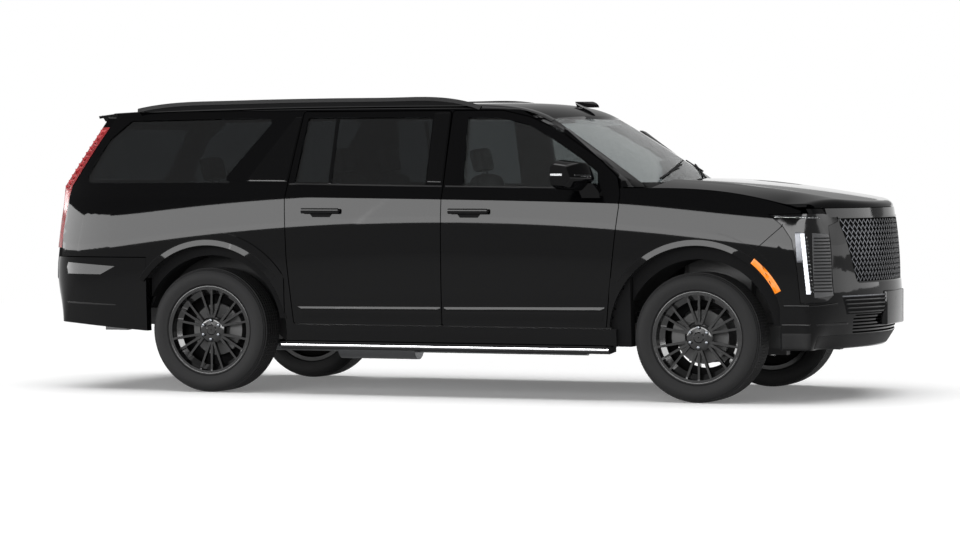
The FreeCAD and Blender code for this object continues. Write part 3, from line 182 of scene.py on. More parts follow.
def hood_edge_z(x):
    """Height of the hood's side edge."""
    return 1368 - 96 * (max(0.0, x - 1480) / 869) ** 2.6


def hood_z(x, y):
    """Height of the hood skin."""
    run = x - fender_break_mm
    centre = 1436 - 0.05 * run - 5.8e-5 * run * run
    out = abs(y)
    if out <= hood_flat_mm:
        return centre - 6 * (out / hood_flat_mm) ** 2
    part = (out - hood_flat_mm) / (hood_half_mm - hood_flat_mm)
    edge = hood_edge_z(min(x, front_axle_mm + 560))
    return centre - 6 - (centre - 6 - edge) * part ** 1.4


def nose_x(y, z):
    """Foremost place of the nose, behind the grille."""
    profile = nose_mm - 11 - 3.5e-5 * (z - 765) - 1.9e-4 * (z - 765) ** 2
    return profile - nose_bow * y * y


def bumper_x(y, z):
    """Foremost place of the bumper, at its lower intake."""
    return nose_mm - 1.25e-3 * (640 - z) ** 2 - nose_bow * y * y


def tail_x(y, z):
    """Rearmost place of the tail at a height."""
    if z <= 800:
        profile = tail_mm + 0.00072 * (800 - z) ** 2
    elif z <= waist_height_mm:
        profile = tail_mm + 0.115 * (z - 800)
    else:
        above = z - waist_height_mm
        profile = tail_mm + 0.115 * (waist_height_mm - 800) + 0.66 * above + 2e-5 * above ** 2
    return profile + 1.2e-4 * y * y


# A field says how far a place lies outside a surface. It also takes the centre of the
# place's face, so that a face on a crease follows only the surface it lies on.

def side_field(p, centre):
    zone = zone_at(centre.x, centre.z)
    if zone < 2:
        zone = min(zone_at(p.x, p.z), 1)
    return abs(p.y) - side_y(p.x, p.z, zone)


def flare_field(p, centre):
    return side_field(p, centre) - flare_mm


def roof_field(p, _):
    return p.z - roof_z(p.x, p.y)


def tail_field(p, _):
    return tail_x(p.y, p.z) - p.x


def slope_of(field, p, centre):
    """Unit direction in which a field grows fastest."""
    step = 0.4
    parts = []
    for axis in range(3):
        ahead, back = p.copy(), p.copy()
        ahead[axis] += step
        back[axis] -= step
        parts.append(field(ahead, centre) - field(back, centre))
    return Vector(parts).normalized()


# Materials

def linear(hex_colour):
    """An sRGB hex colour as linear red, green, blue and alpha."""
    parts = [int(hex_colour[i:i + 2], 16) / 255 for i in (1, 3, 5)]
    parts = [c / 12.92 if c <= 0.04045 else ((c + 0.055) / 1.055) ** 2.4 for c in parts]
    return (*parts, 1.0)


def add_node(tree, kind, settings=None, links=None):
    """Adds a node, sets its fields and inputs, and links inputs to other nodes' outputs."""
    node = tree.nodes.new(kind)
    for name, value in (settings or {}).items():
        if name in node.inputs:
            node.inputs[name].default_value = value
        else:
            setattr(node, name, value)
    for name, output in (links or {}).items():
        tree.links.new(output, node.inputs[name])
    return node


def surface(name, colour, roughness, grain_mm=2.0, relief_mm=0.0, uneven=0.04, **settings):
    """A shader whose gloss is slightly uneven, with an optional fine relief."""
    made = bpy.data.materials.new(name)
    made.use_nodes = True
    tree = made.node_tree
    shader = tree.nodes["Principled BSDF"]
    shader.inputs["Base Color"].default_value = linear(colour)
    for key, value in settings.items():
        shader.inputs[key.replace("_", " ")].default_value = value
    place = add_node(tree, "ShaderNodeTexCoord")
    grain = add_node(tree, "ShaderNodeTexNoise", {"Scale": 1 / (grain_mm * MM), "Detail": 3.0},
                     {"Vector": place.outputs["Object"]})
    rough = add_node(tree, "ShaderNodeMapRange",
                     {"To Min": max(0.0, roughness - uneven), "To Max": roughness + uneven},
                     {"Value": grain.outputs["Fac"]})
    tree.links.new(rough.outputs["Result"], shader.inputs["Roughness"])
    if relief_mm:
        bump = add_node(tree, "ShaderNodeBump", {"Distance": relief_mm * MM, "Strength": 1.0},
                        {"Height": grain.outputs["Fac"]})
        tree.links.new(bump.outputs["Normal"], shader.inputs["Normal"])
    return made


# Sprayed black clearcoat: deep, nearly even gloss with sharp reflections.
paint = surface("black clearcoat paint", "#050506", 0.03, grain_mm=900, uneven=0.01,
                Specular_IOR_Level=0.13)
# Moulded ABS polished to a piano black: a slightly softer gloss than the paint's.
piano_black = surface("piano black ABS", "#050506", 0.08, grain_mm=60, uneven=0.03,
                      Specular_IOR_Level=0.18)
# Grained polypropylene: a soft, broad sheen on the mouldings and cladding.
grained_black = surface("grained black polypropylene", "#0d0d0e", 0.6, grain_mm=1.6,
                        relief_mm=0.05, uneven=0.06, Specular_IOR_Level=0.15)
# Satin lacquer of the roof rails: black, with no sharp reflection.
satin_black = surface("satin black lacquer", "#060607", 0.5, grain_mm=30, uneven=0.05,
                      Specular_IOR_Level=0.16)
# What the three kinds of float glass share: a polished, very even surface
GLASS = {"roughness": 0.01, "grain_mm": 400, "uneven": 0.01, "Transmission_Weight": 1.0,
         "IOR": 1.45}
# Privacy glass: green-grey and dark, so that the cabin hardly shows.
privacy_glass = surface("privacy glass", "#4a4e50", **GLASS)
# Tinted glass of the front doors: lighter, so that the seats show through.
front_glass = surface("tinted glass", "#878c8c", **GLASS)
# Needled felt of the wheel arch linings: fibrous and quite dull. The same dull black is also laid
# as painted shade, in the shadow lines round the arch flares and the cups behind the door handles.
felt_and_painted_shade = surface("needled felt", "#0d0d0e", 0.9, grain_mm=3, relief_mm=0.4, uneven=0.05,
                    Specular_IOR_Level=0.1)
# Laminated glass of the windscreen: clear with a slight grey-green.
clear_glass = surface("laminated glass", "#dfe2e2", **GLASS)
# Moulded polycarbonate lens, hard-coated: clear, with small sharp glints.
lens = surface("clear polycarbonate", "#c8ccd0", 0.02, grain_mm=300, uneven=0.01,
               Transmission_Weight=1.0, IOR=1.5)
# Moulded acrylic, dyed red: half clear, with a deep colour.
red_lens = surface("red acrylic", "#b03034", 0.2, grain_mm=80, uneven=0.02,
                   Transmission_Weight=0.35)
# Vulcanised rubber, dull with a faint bloom.
rubber = surface("tyre rubber", "#0f0f10", 0.72, grain_mm=5, relief_mm=0.08, uneven=0.08,
                 Specular_IOR_Level=0.2)
# Cast aluminium under black lacquer: glossy, with soft bright edges on the spokes.
black_alloy = surface("black lacquered aluminium", "#060607", 0.14, grain_mm=40, uneven=0.05,
                      Specular_IOR_Level=0.45)
# Sand-cast iron: rough, dull and grey.
cast_iron = surface("cast iron", "#3a3a3a", 0.6, grain_mm=4, relief_mm=0.2, uneven=0.08)
# Dip-coated chassis steel: nearly black and half dull.
chassis_coat = surface("black chassis coat", "#1a1a1b", 0.5, grain_mm=12, uneven=0.08)
# Aluminised exhaust steel: pale grey with a broken sheen.
exhaust_steel = surface("aluminised steel", "#77787a", 0.4, grain_mm=10, uneven=0.1, Metallic=1.0)
# Black hide: finely pebbled and half matt.
hide = surface("black hide", "#1d1d1f", 0.5, grain_mm=2.4, relief_mm=0.25, uneven=0.06)
# Soft-touch moulding of the cabin: matt and even.
soft_touch = surface("soft-touch moulding", "#1c1c1e", 0.6, grain_mm=1.5, relief_mm=0.1)
# Moulded acrylic, dyed amber: bright orange, as if light came through it.
amber_lens = surface("amber acrylic", "#e07a08", 0.3, grain_mm=80, uneven=0.02,
                     Specular_IOR_Level=0.25, Emission_Color=linear("#ff8a10"),
                     Emission_Strength=0.35)
# Frosted polycarbonate light guide, lit: an even, cool white.
lamp_white = surface("lit light guide", "#f4f6fa", 0.3, grain_mm=20, uneven=0.05,
                     Emission_Color=linear("#f2f5ff"), Emission_Strength=0.55)
# Red light guide of the tail lamps, unlit: a paler red than the lens before it.
tail_glow = surface("red light guide", "#c84448", 0.25, grain_mm=20, uneven=0.05)
# Silvered glass of the mirrors: a clear, faintly grey reflection.
mirror_silver = surface("silvered glass", "#c9ced2", 0.01, grain_mm=300, uneven=0.01,
                        Metallic=1.0)
# Black-chromed ABS of the grille mesh: dark with small bright edges.
grille_black = surface("black chromed ABS", "#4c4d50", 0.3, grain_mm=20, uneven=0.05,
                       Metallic=1.0)
# Zinc-plated steel of the wheel nuts: dark grey with a soft glint.
bright_nut = surface("zinc-plated steel", "#55575a", 0.3, grain_mm=6, uneven=0.06, Metallic=1.0)
# Machined aluminium of the lamp reflectors: grey, with a spread reflection.
machined = surface("machined aluminium", "#4c4d50", 0.3, grain_mm=8, uneven=0.06, Metallic=1.0)
# Satin moulding inside the headlamps: dark grey behind the ribs.
bezel_grey = surface("satin grey moulding", "#1b1c1f", 0.35, grain_mm=12, uneven=0.04)
# Enamelled aluminium of the blank plate: clean, slightly glossy white.
plate_white = surface("white enamelled aluminium", "#d9dad8", 0.3, grain_mm=40, uneven=0.04)
# Chromed plastic: a bright, sharp reflection.
chrome = surface("chromed ABS", "#d8d8da", 0.08, grain_mm=40, uneven=0.02, Metallic=1.0)

# The material and the slot that the commonest pieces take
PAINT = (paint, "paint")
GLOSS = (piano_black, "gloss_black")
TRIM = (grained_black, "trim")

node_materials = {
    "paint": paint, "gloss_black": piano_black, "trim": grained_black, "glass": privacy_glass,
    "screen_glass": clear_glass, "lamp_lens": lens, "tail_lens": red_lens, "tyre": rubber,
    "wheel": black_alloy, "chassis": chassis_coat, "cast": cast_iron, "leather": hide,
    "cabin": soft_touch, "steel": exhaust_steel,
}
slots = {part["node"]: part["material_slot"] for part in frame["record"]["subparts"]}
bodies = {node: body for body, members in frame["record"]["behaviour"]["bodies"].items()
          for node in members}

# Making shapes and pieces

def mesh_from(name, shape):
    """Turns a finished bmesh into a mesh and frees it."""
    mesh = bpy.data.meshes.new(name)
    shape.to_mesh(mesh)
    shape.free()
    return mesh


def linked(name, data):
    """A new object in the scene."""
    made = bpy.data.objects.new(name, data)
    bpy.context.scene.collection.objects.link(made)
    return made


def piece(name, shape, body, material, slot):
    """A finished object, made from a bmesh, that moves with a CAD body."""
    made = linked(name, mesh_from(name, shape))
    made.data.materials.append(material)
    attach(made, body)
    return made


def soften(shape, angle=32):
    """Smooth faces, with the edges sharper than the angle kept crisp."""
    for face in shape.faces:
        face.smooth = True
    for edge in shape.edges:
        if len(edge.link_faces) != 2 or edge.calc_face_angle() > math.radians(angle):
            edge.smooth = False
    return shape


def rounded(shape, edges, radius, segments=2):
    """Bevels edges to a round."""
    bmesh.ops.bevel(shape, geom=edges, offset=radius, segments=segments, profile=0.5,
                    affect="EDGES", material=-1)


def grid_of(columns, rows, place):
    """A sheet of faces whose corners lie where place(u, v) says, u and v from 0 to 1."""
    shape = bmesh.new()
    bmesh.ops.create_grid(shape, x_segments=columns, y_segments=rows, size=0.5)
    for vertex in shape.verts:
        vertex.co = place(vertex.co.x + 0.5, vertex.co.y + 0.5)
    return shape


def extruded(shape, offset):
    """Gives a sheet of faces its thickness, towards the offset."""
    raised = bmesh.ops.extrude_face_region(shape, geom=shape.faces[:])
    moved = [v for v in raised["geom"] if isinstance(v, bmesh.types.BMVert)]
    bmesh.ops.translate(shape, verts=moved, vec=offset)
    bmesh.ops.recalc_face_normals(shape, faces=shape.faces)
    return shape


def bar_shape(size_mm, place_mm, bevel_mm=3.0, turn=None):
    """A bar with rounded edges, from its size and its middle."""
    shape = bmesh.new()
    bmesh.ops.create_cube(shape, size=1.0)
    bmesh.ops.scale(shape, verts=shape.verts, vec=Vector(size_mm) * MM)
    rounded(shape, shape.edges[:], bevel_mm * MM, 3)
    if turn is not None:
        bmesh.ops.rotate(shape, verts=shape.verts, matrix=turn)
    bmesh.ops.translate(shape, verts=shape.verts, vec=Vector(place_mm) * MM)
    return soften(shape)


def joined(shapes):
    """Several shapes as one."""
    whole = bmesh.new()
    for shape in shapes:
        part = mesh_from("part", shape)
        whole.from_mesh(part)
        bpy.data.meshes.remove(part)
    return whole


# Dressing the CAD nodes

def follow_surface(mesh, fields, near_mm=2.5):
    """Gives the faces that lie on a body surface the exact normals of that surface."""
    normals = [corner.vector.copy() for corner in mesh.corner_normals]
    points = [vertex.co / MM for vertex in mesh.vertices]
    for polygon in mesh.polygons:
        centre = polygon.center / MM
        for field in fields:
            if max(abs(field(points[i], centre)) for i in polygon.vertices) > near_mm:
                continue
            if slope_of(field, centre, centre).dot(polygon.normal) > 0.85:
                for loop, vertex in zip(polygon.loop_indices, polygon.vertices):
                    normals[loop] = slope_of(field, points[vertex], centre)
    mesh.normals_split_custom_set(normals)


def cut_long_edges(shape, longest):
    """Splits edges until none is longer than the limit."""
    for _ in range(6):
        edges = [edge for edge in shape.edges if edge.calc_length() > longest]
        if not edges:
            return
        bmesh.ops.subdivide_edges(shape, edges=edges, cuts=1)
        bmesh.ops.triangulate(shape, faces=[f for f in shape.faces if len(f.verts) > 3])


def in_wheel_arch(centre):
    """True for a place inside a wheel arch, behind the lip of the body side."""
    p = centre / MM
    return any(math.hypot(p.x - axle_mm, p.z - wheel_z_mm) < radius + 8.6
               and abs(p.y) < side_y(p.x, p.z) - 6 for axle_mm, radius, _, _ in ARCHES.values())


def cad_shape(node, angle=32, longest=None):
    """A CAD node's mesh with its loose triangles joined and shaded smooth."""
    shape = bmesh.new()
    shape.from_mesh(nodes[node].data)
    bmesh.ops.remove_doubles(shape, verts=shape.verts, dist=1e-5)
    if longest:
        cut_long_edges(shape, longest)
    return soften(shape, angle)


def dress(node, material=None, fields=(), angle=32, longest=0.12, lined=False):
    """A smooth-shaded copy of a CAD node, which then stands for it."""
    made = piece(node + "_skin", cad_shape(node, angle, longest if fields else None),
                 bodies[node], material or node_materials[slots[node]], slots[node])
    if fields:
        follow_surface(made.data, fields)
    if lined:
        made.data.materials.append(felt_and_painted_shade)
        for polygon in made.data.polygons:
            polygon.material_index = int(in_wheel_arch(polygon.center))
    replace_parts(made, node)


outside_fields = {
    "body_side_left": (side_field, flare_field), "body_side_right": (side_field, flare_field),
    "fender_left": (side_field, flare_field), "fender_right": (side_field, flare_field),
    "front_door_left": (side_field,), "front_door_right": (side_field,),
    "rear_door_left": (side_field,), "rear_door_right": (side_field,),
    "roof": (roof_field,), "liftgate": (tail_field,),
}
remade = {"headlamps", "grille", "hood", "roof_rails", "front_seats", "second_seats",
          "third_seat", "steering_wheel"}
remade |= {name for name in nodes if name.startswith("tyre_")}
for node in sorted(set(nodes) - remade):
    wall = node.startswith(("fender", "body_side"))
    dress(node, front_glass if node.startswith("front_door_glass") else None,
          outside_fields.get(node, ()), angle=50 if wall else 32,
          longest=0.06 if wall or "_door_" in node else 0.12, lined=wall)
dress("roof_rails", satin_black)

# Laying pieces on the CAD surfaces

SINK_MM = 1     # how far the back of a laid piece lies under the surface
trees = {}


def skin_hit(node, start, direction):
    """Where a line first meets a CAD node, or the nearest of several."""
    if isinstance(node, tuple):
        hits = [hit for hit in (skin_hit(one, start, direction) for one in node) if hit]
        return min(hits, key=lambda hit: (hit - Vector(start)).length, default=None)
    if node not in trees:
        shape = bmesh.new()
        shape.from_mesh(nodes[node].data)
        trees[node] = BVHTree.FromBMesh(shape)
        shape.free()
    return trees[node].ray_cast(Vector(start), Vector(direction))[0]


def seen_place(view, a, b):
    """A place outside the vehicle from its two coordinates in a view, and the way in."""
    if view in ("left", "right"):
        side = 1 if view == "left" else -1
        return Vector((a, 3 * side, b)), Vector((0, -side, 0))
    end = 1 if view == "front" else -1
    return Vector((4 * end, a, b)), Vector((-end, 0, 0))


def flipped(sign, corners):
    """Corners drawn for the left side, mirrored where the sign is -1."""
    return [(sign * a, b) for a, b in corners]


def rect(a, b, low, high, sign=1):
    """Corners of a rectangle in a view, mirrored where the sign is -1."""
    return flipped(sign, [(a, low), (b, low), (b, high), (a, high)])


def laid_shape(node, view, corners, thick_mm, columns, rows, bevel_mm):
    """A panel that follows a node's surface between four corners seen in a view.

    The corners may also be a function of u and v that gives a place in metres, and the
    thickness one that gives millimetres. No corner goes past the bounds of the CAD.
    """
    shape = bmesh.new()
    bmesh.ops.create_grid(shape, x_segments=columns, y_segments=rows, size=0.5)
    lift = shape.verts.layers.float.new("lift")
    if not callable(corners):
        a, b, c, d = [Vector(corner) * MM for corner in corners]
    depths = []
    for vertex in shape.verts:
        u, v = vertex.co.x + 0.5, vertex.co.y + 0.5
        place = corners(u, v) if callable(corners) else a.lerp(b, u).lerp(d.lerp(c, u), v)
        vertex[lift] = thick_mm(u, v) if callable(thick_mm) else thick_mm
        start, into = seen_place(view, place.x, place.y)
        hit = skin_hit(node, start, into)
        vertex.co = hit if hit else start
        depths.append(((vertex.co - start).dot(into), vertex, start, bool(hit)))
    # A corner that misses the node, or meets it far from the others, takes the usual depth.
    found = [depth for depth, _, _, real in depths if real]
    typical = sorted(found)[len(found) // 2] if found else 3.0
    for depth, vertex, start, real in depths:
        if not real or abs(depth - typical) > 0.25:
            vertex.co = start + into * typical
    for vertex in shape.verts:
        vertex.co += into * SINK_MM * MM
    raised = bmesh.ops.extrude_face_region(shape, geom=shape.faces[:])
    top = {v for v in raised["geom"] if isinstance(v, bmesh.types.BMVert)}
    for vertex in top:
        vertex.co -= into * (vertex[lift] + SINK_MM) * MM
    bmesh.ops.recalc_face_normals(shape, faces=shape.faces)
    if bevel_mm:
        rim = [e for e in shape.edges if set(e.verts) <= top
               and e.calc_face_angle(0) > math.radians(50)]
        rounded(shape, rim, bevel_mm * MM)
    for vertex in shape.verts:
        for axis in range(3):
            vertex.co[axis] = min(max(vertex.co[axis], cad_bounds[0][axis]), cad_bounds[1][axis])
    return soften(shape)


def laid(name, node, view, corners, material, slot, thick_mm, columns, rows, bevel_mm):
    """A laid panel, of so many columns and rows of faces, on the body of its (first) node."""
    holder = node[0] if isinstance(node, tuple) else node
    shape = laid_shape(node, view, corners, thick_mm, columns, rows, bevel_mm)
    return piece(name, shape, bodies[holder], material, slot)


def ramp(low_mm, high_mm, ends=0.0):
    """A thickness that falls from the lower edge to the upper one, and towards the ends."""
    return lambda u, v: high_mm + (low_mm - high_mm) * (1 - v) * min(
        1.0, min(u, 1 - u) / ends if ends else 1.0)


def round_axle(axle_mm, degrees, out_mm):
    """A place seen from the side, at an angle and a distance from an axle."""
    angle = math.radians(degrees)
    return Vector((axle_mm + out_mm * math.cos(angle), wheel_z_mm + out_mm * math.sin(angle))) * MM


# Doors: mouldings, belt strips, pillar panels and handles; steps and side markers

grip_height_mm = 1218
step_x_mm, step_y_mm, step_z_mm = 110, 1022, 349.5


def door_handle(door, side, sign, low_x, high_x):
    """A pull handle on two feet, over a thin dark patch of painted shade that stands for a shallow
    cup.
    """
    mid_x = (low_x + high_x) / 2
    skin_y = side_y(mid_x, 1214)
    bars = [bar_shape((high_x - low_x, 19, 36), (mid_x, sign * (skin_y + 27), grip_height_mm), 9)]
    for x in (low_x + 32, high_x - 32):
        bars.append(bar_shape((52, 34, 28), (x, sign * (skin_y + 10), grip_height_mm), 8))
    piece(door + "_grip", joined(bars), bodies[door], *PAINT)
    # Painted shade: a thin dull black patch under the handle stands for the shade in its cup.
    laid(door + "_grip_cup", door, side,
         [(mid_x - 62, 1176), (mid_x + 62, 1176), (mid_x + 92, 1212), (mid_x - 92, 1212)],
         felt_and_painted_shade, "gloss_black", 0.5, 16, 4, 0.2)


for side, sign in SIDES:
    front_door, rear_door, wall = "front_door_" + side, "rear_door_" + side, "body_side_" + side
    for name, *rest in (
            ("front_door_moulding_", front_door, side,
             [(112, 512), (1204, 512), (1216, 604), (112, 592)], *PAINT, 1, 40, 2, 0.4),
            ("rear_door_moulding_", rear_door, side,
             [(-900, 512), (86, 512), (86, 592), (-930, 584)], *PAINT, 1, 40, 2, 0.4),
            ("front_belt_strip_", front_door, side,
             [(110, 1376), (1180, 1362), (1168, 1372), (110, 1386)], *TRIM, 2, 40, 1, 0.3),
            ("rear_belt_strip_", rear_door, side,
             [(-1004, 1390), (86, 1376), (86, 1386), (-1000, 1400)], *TRIM, 2, 40, 1, 0.3),
            ("rear_pillar_panel_", wall, side,
             [(-1316, 1414), (-1024, 1412), (-972, 1838), (-1016, 1838)], *GLOSS, 2.5, 16, 16, 1),
            ("centre_pillar_panel_", rear_door, side,
             [(-20, 1408), (84, 1406), (84, 1862), (-22, 1862)], *GLOSS, 2, 6, 16, 1),
            ("door_glass_divider_", "rear_door_glass_" + side, side,
             [(-724, 1392), (-698, 1392), (-700, 1826), (-726, 1826)], *GLOSS, 4, 3, 16, 1.5)):
        laid(name + side, *rest)
    door_handle(front_door, side, sign, 153, 431)
    door_handle(rear_door, side, sign, -887, -615)
    strip = bar_shape((2284, 5, 12), (step_x_mm, sign * (step_y_mm + 9.5), 331), 1.5)
    piece("step_bright_strip_" + side, strip, "root", chrome, "steel")
    tread = [bar_shape((2230, 9, 5), (step_x_mm, sign * (step_y_mm - 14 * i), step_z_mm), 1.5)
             for i in range(1, 7)]
    piece("step_tread_" + side, joined(tread), "root", *TRIM)
    laid("side_marker_" + side, ("fender_" + side, "bumper_front"), side,
         lambda u, v: round_axle(front_axle_mm, 29 + 24 * v, 589 + 10 * v + 38 * u),
         amber_lens, "lamp_lens", 4, 3, 20, 1.5)

# Mirrors: a bright strip cut into the skin, a lamp under it, and a silvered glass facing back

strip_x_mm, strip_z_mm, strip_depth_mm = (912, 990), (1449, 1462), 40
for side, sign in SIDES:
    node = "mirror_" + side
    low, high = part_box(node)
    outer = max(abs(low[1]), abs(high[1])) / MM
    skin = bpy.data.objects[node + "_skin"].data
    skin.materials.append(chrome)
    shape = bmesh.new()
    shape.from_mesh(skin)
    for across, cuts in (((0, 0, 1), strip_z_mm), ((1, 0, 0), strip_x_mm)):
        for cut in cuts:
            bmesh.ops.bisect_plane(shape, geom=shape.verts[:] + shape.edges[:] + shape.faces[:],
                                   plane_co=Vector(across) * (cut * MM), plane_no=across)
    for face in shape.faces:
        p = face.calc_center_median() / MM
        face.material_index = int(strip_x_mm[0] < p.x < strip_x_mm[1]
                                  and strip_z_mm[0] < p.z < strip_z_mm[1]
                                  and abs(p.y) > outer - strip_depth_mm)
    shape.to_mesh(skin)
    shape.free()
    laid("mirror_lamp_" + side, node, "front",
         flipped(sign, [(outer - 140, 1440), (outer - 24, 1448), (outer - 24, 1456),
                        (outer - 140, 1454)]), lens, "lamp_lens", 2.5, 12, 2, 1)
    laid("mirror_glass_" + side, node, "rear",
         flipped(sign, [(outer - 176, 1380), (outer - 34, 1388), (outer - 34, 1520),
                        (outer - 176, 1528)]), mirror_silver, "glass", 2, 8, 8, 1.5)

# Headlamps: a dark housing, a tall light guide with beads before it, ribs on a bezel,
# a reflector and a slim upper lamp

guide_foot_mm, guide_pitch_mm, guide_parts = 700, 24, 16
rib_foot_mm, rib_pitch_mm, rib_count = 712, 21, 17


def guide_x(x, z):
    """A place on the light guide, which leans back as it rises."""
    return x - (0.10 * (z - guide_foot_mm) - 14)


def lamp_bead(sign, z):
    """A small round lens on the face of the light guide."""
    face = skin_hit("headlamps", (guide_x(2556, z) * MM, sign * 3, z * MM), (0, -sign, 0))
    bead = bmesh.new()
    bmesh.ops.create_uvsphere(bead, u_segments=10, v_segments=6, radius=0.009)
    bmesh.ops.translate(bead, verts=bead.verts, vec=face)
    return soften(bead, 90)


lamp_body = bodies["headlamps"]
housing = piece("headlamp_housing", cad_shape("headlamps", 28), lamp_body, *GLOSS)
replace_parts(housing, "headlamps")
for side, sign in SIDES:
    guides = [laid_shape("headlamps", side,
                         rect(guide_x(2520, z), guide_x(2544, z), z, z + 23), 4, 3, 3, 1.6)
              for z in (guide_foot_mm + guide_pitch_mm * i for i in range(guide_parts))]
    ribs = [laid_shape("headlamps", "front", rect(808, 914, z, z + 9, sign), 6, 8, 2, 2)
            for z in (rib_foot_mm + rib_pitch_mm * i for i in range(rib_count))]
    beads = [lamp_bead(sign, 716 + 24.5 * i) for i in range(15)]
    laid("lamp_bezel_" + side, "headlamps", "front",
         flipped(sign, [(800, 690), (912, 676), (920, 1086), (804, 1074)]),
         bezel_grey, "lamp_lens", 1, 12, 24, 0)
    piece("lamp_beads_" + side, joined(beads), lamp_body, lens, "lamp_lens")
    laid("lamp_reflector_" + side, "headlamps", side,
         [(2478, 900), (2512, 900), (2500, 1092), (2462, 1092)], machined, "steel", 1.5, 6, 12, 0.5)
    piece("light_guide_" + side, joined(guides), lamp_body, lamp_white, "lamp_lens")
    piece("lamp_ribs_" + side, joined(ribs), lamp_body, *TRIM)
    laid("upper_lamp_" + side, "headlamps", side,
         [(2330, 1184), (2600, 1176), (2600, 1186), (2330, 1196)], lens, "lamp_lens", 2, 24, 2, 0.8)

# Grille: rows of zigzag bars before a dark backing, in a frame, with a header above

dress("grille", felt_and_painted_shade)
grille_foot_mm, grille_top_mm = 762, 1186
grille_foot_half_mm, grille_top_half_mm = 570, 708


def nose_bar(z_low, z_high, half_low, half_high, depth, inset, columns=60, wave=0.0, waves=1,
             face_x=nose_x):
    """A bar across the nose; a wave turns it into a zigzag."""
    def place(u, v):
        across = 2 * u - 1
        y = across * (half_low + (half_high - half_low) * v)
        swing = 2 * abs((across * waves / 2) % 1 - 0.5) - 0.5
        z = z_low + (z_high - z_low) * v + wave * swing
        return Vector((face_x(y, z) - inset, y, z)) * MM

    return soften(extruded(grid_of(columns, 1, place), (-depth * MM, 0, 0)))


def grille_half(z):
    """Half width of the grille's opening at a height."""
    rise = (z - grille_foot_mm) / (grille_top_mm - grille_foot_mm)
    return grille_foot_half_mm + (grille_top_half_mm - grille_foot_half_mm) * rise


def header_corner(sign):
    """The end of the header, which turns over the headlamp."""
    def place(u, v):
        y = sign * (0.792 + 0.122 * u)
        face = skin_hit("headlamps", (4, y, 1.198), (-1, 0, 0))
        return (face.x if face else 2.55) - 0.004 - 0.016 * v, y, 1.207 + 0.031 * v

    return soften(extruded(grid_of(16, 2, place), (-0.03, 0, 0)))


row_count, row_pitch_mm, row_tall_mm, zigzag_mm = 12, 33, 8, 27
mesh_rows = []
for row in range(row_count):
    z = 786 + row_pitch_mm * row
    half = grille_half(z) - 12
    mesh_rows.append(nose_bar(z, z + row_tall_mm, half, half, 9, 3, columns=224,
                              wave=zigzag_mm if row % 2 else -zigzag_mm, waves=28))
piece("grille_mesh", joined(mesh_rows), "root", grille_black, "gloss_black")
frame_bars = [nose_bar(762, 772, 569, 572, 16, 0), nose_bar(1176, 1187, 704, 708, 16, 0)]
piece("grille_frame", joined(frame_bars), "root", *GLOSS)
piece("grille_header", nose_bar(1183, 1239, 790, 800, 24, 5), "root", *GLOSS)
piece("header_corners", joined(header_corner(sign) for _, sign in SIDES), "root", *PAINT)

# Hood: one crowned panel with a turned-down lip and two long creases

lip_share = 0.1     # how much of the hood's length in faces the lip takes
lip_start = 1 - lip_share
crease_tall_mm, crease_half_mm = 5, 26


def hood_side_y(x):
    """Half width of the hood, inside the fenders."""
    return min(hood_half_mm, side_y(x, hood_edge_z(x)) - 18)


def hood_place(along, across):
    """A place on the hood, from its share of the length and of the width."""
    turn = max(0.0, (along - lip_start) / lip_share * math.pi / 2)
    edge = hood_half_mm
    for _ in range(4):
        y = (2 * across - 1) * edge
        rear_x = front_axle_mm - 190 - 1.5e-4 * y * y
        front_x = nose_x(y, hood_lip_mm) - 70
        if along <= lip_start:
            x = rear_x + (front_x - rear_x) * along / lip_start
        else:
            x = front_x + 62 * math.sin(turn)
        edge = hood_side_y(min(x, front_axle_mm + 740))
    crease = max(0.0, 1 - abs(abs(y) - 640 + 0.06 * (x - 1600)) / crease_half_mm)
    z = hood_z(min(x, front_x), y) + crease_tall_mm * crease * min(1.0, (2700 - x) / 400)
    return Vector((x, y, z - (z - hood_lip_mm) * (1 - math.cos(turn)))) * MM


hood_shape = grid_of(44, 48, hood_place)
bmesh.ops.recalc_face_normals(hood_shape, faces=hood_shape.faces)
if hood_shape.faces[0].normal.z < 0:
    bmesh.ops.reverse_faces(hood_shape, faces=hood_shape.faces)
bmesh.ops.solidify(hood_shape, geom=hood_shape.faces[:], thickness=0.022)
bmesh.ops.recalc_face_normals(hood_shape, faces=hood_shape.faces)
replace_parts(piece("hood_panel", soften(hood_shape, 40), "hood", *PAINT), "hood")

# Roof: rounded edges, dark bases under the rails, and fins under the spoiler's ends

roof_edge_from_mm, roof_edge_length_mm = -2400, 3180
wall_top_mm = 1879
rail_from_mm, rail_length_mm, rail_y_mm = -2150, 2400, 780


def roof_edge(sign):
    """A rounded drip rail from a side wall up to the roof skin."""
    def place(u, v):
        x = roof_edge_from_mm + roof_edge_length_mm * u
        low_y, high_y = side_y(x, wall_top_mm) - 3, side_y(x, wall_top_mm) - 100
        low_z = min(1881, roof_z(x, 726) - 3)
        turn = v * math.pi / 2
        y = high_y + (low_y - high_y) * math.cos(turn)
        z = low_z + (roof_z(x, high_y) + 1.5 - low_z) * math.sin(turn)
        return Vector((x, sign * y, z)) * MM

    return soften(extruded(grid_of(60, 6, place), (0, -sign * 0.003, -0.003)), 40)


def rail_base(sign):
    """A dark strip that closes the gap between a rail and the roof."""
    def place(u, v):
        x = rail_from_mm + rail_length_mm * u
        seat = roof_z(x, rail_y_mm)
        under = skin_hit("roof_rails", (x * MM, sign * rail_y_mm * MM, 1.7), (0, 0, 1))
        top = max(seat - 1, under.z / MM + 1.5) if under else seat - 1
        return Vector((x, sign * (rail_y_mm + 9), top if v > 0.5 else seat - 3)) * MM

    return soften(extruded(grid_of(60, 1, place), (0, -sign * 0.018, 0)))


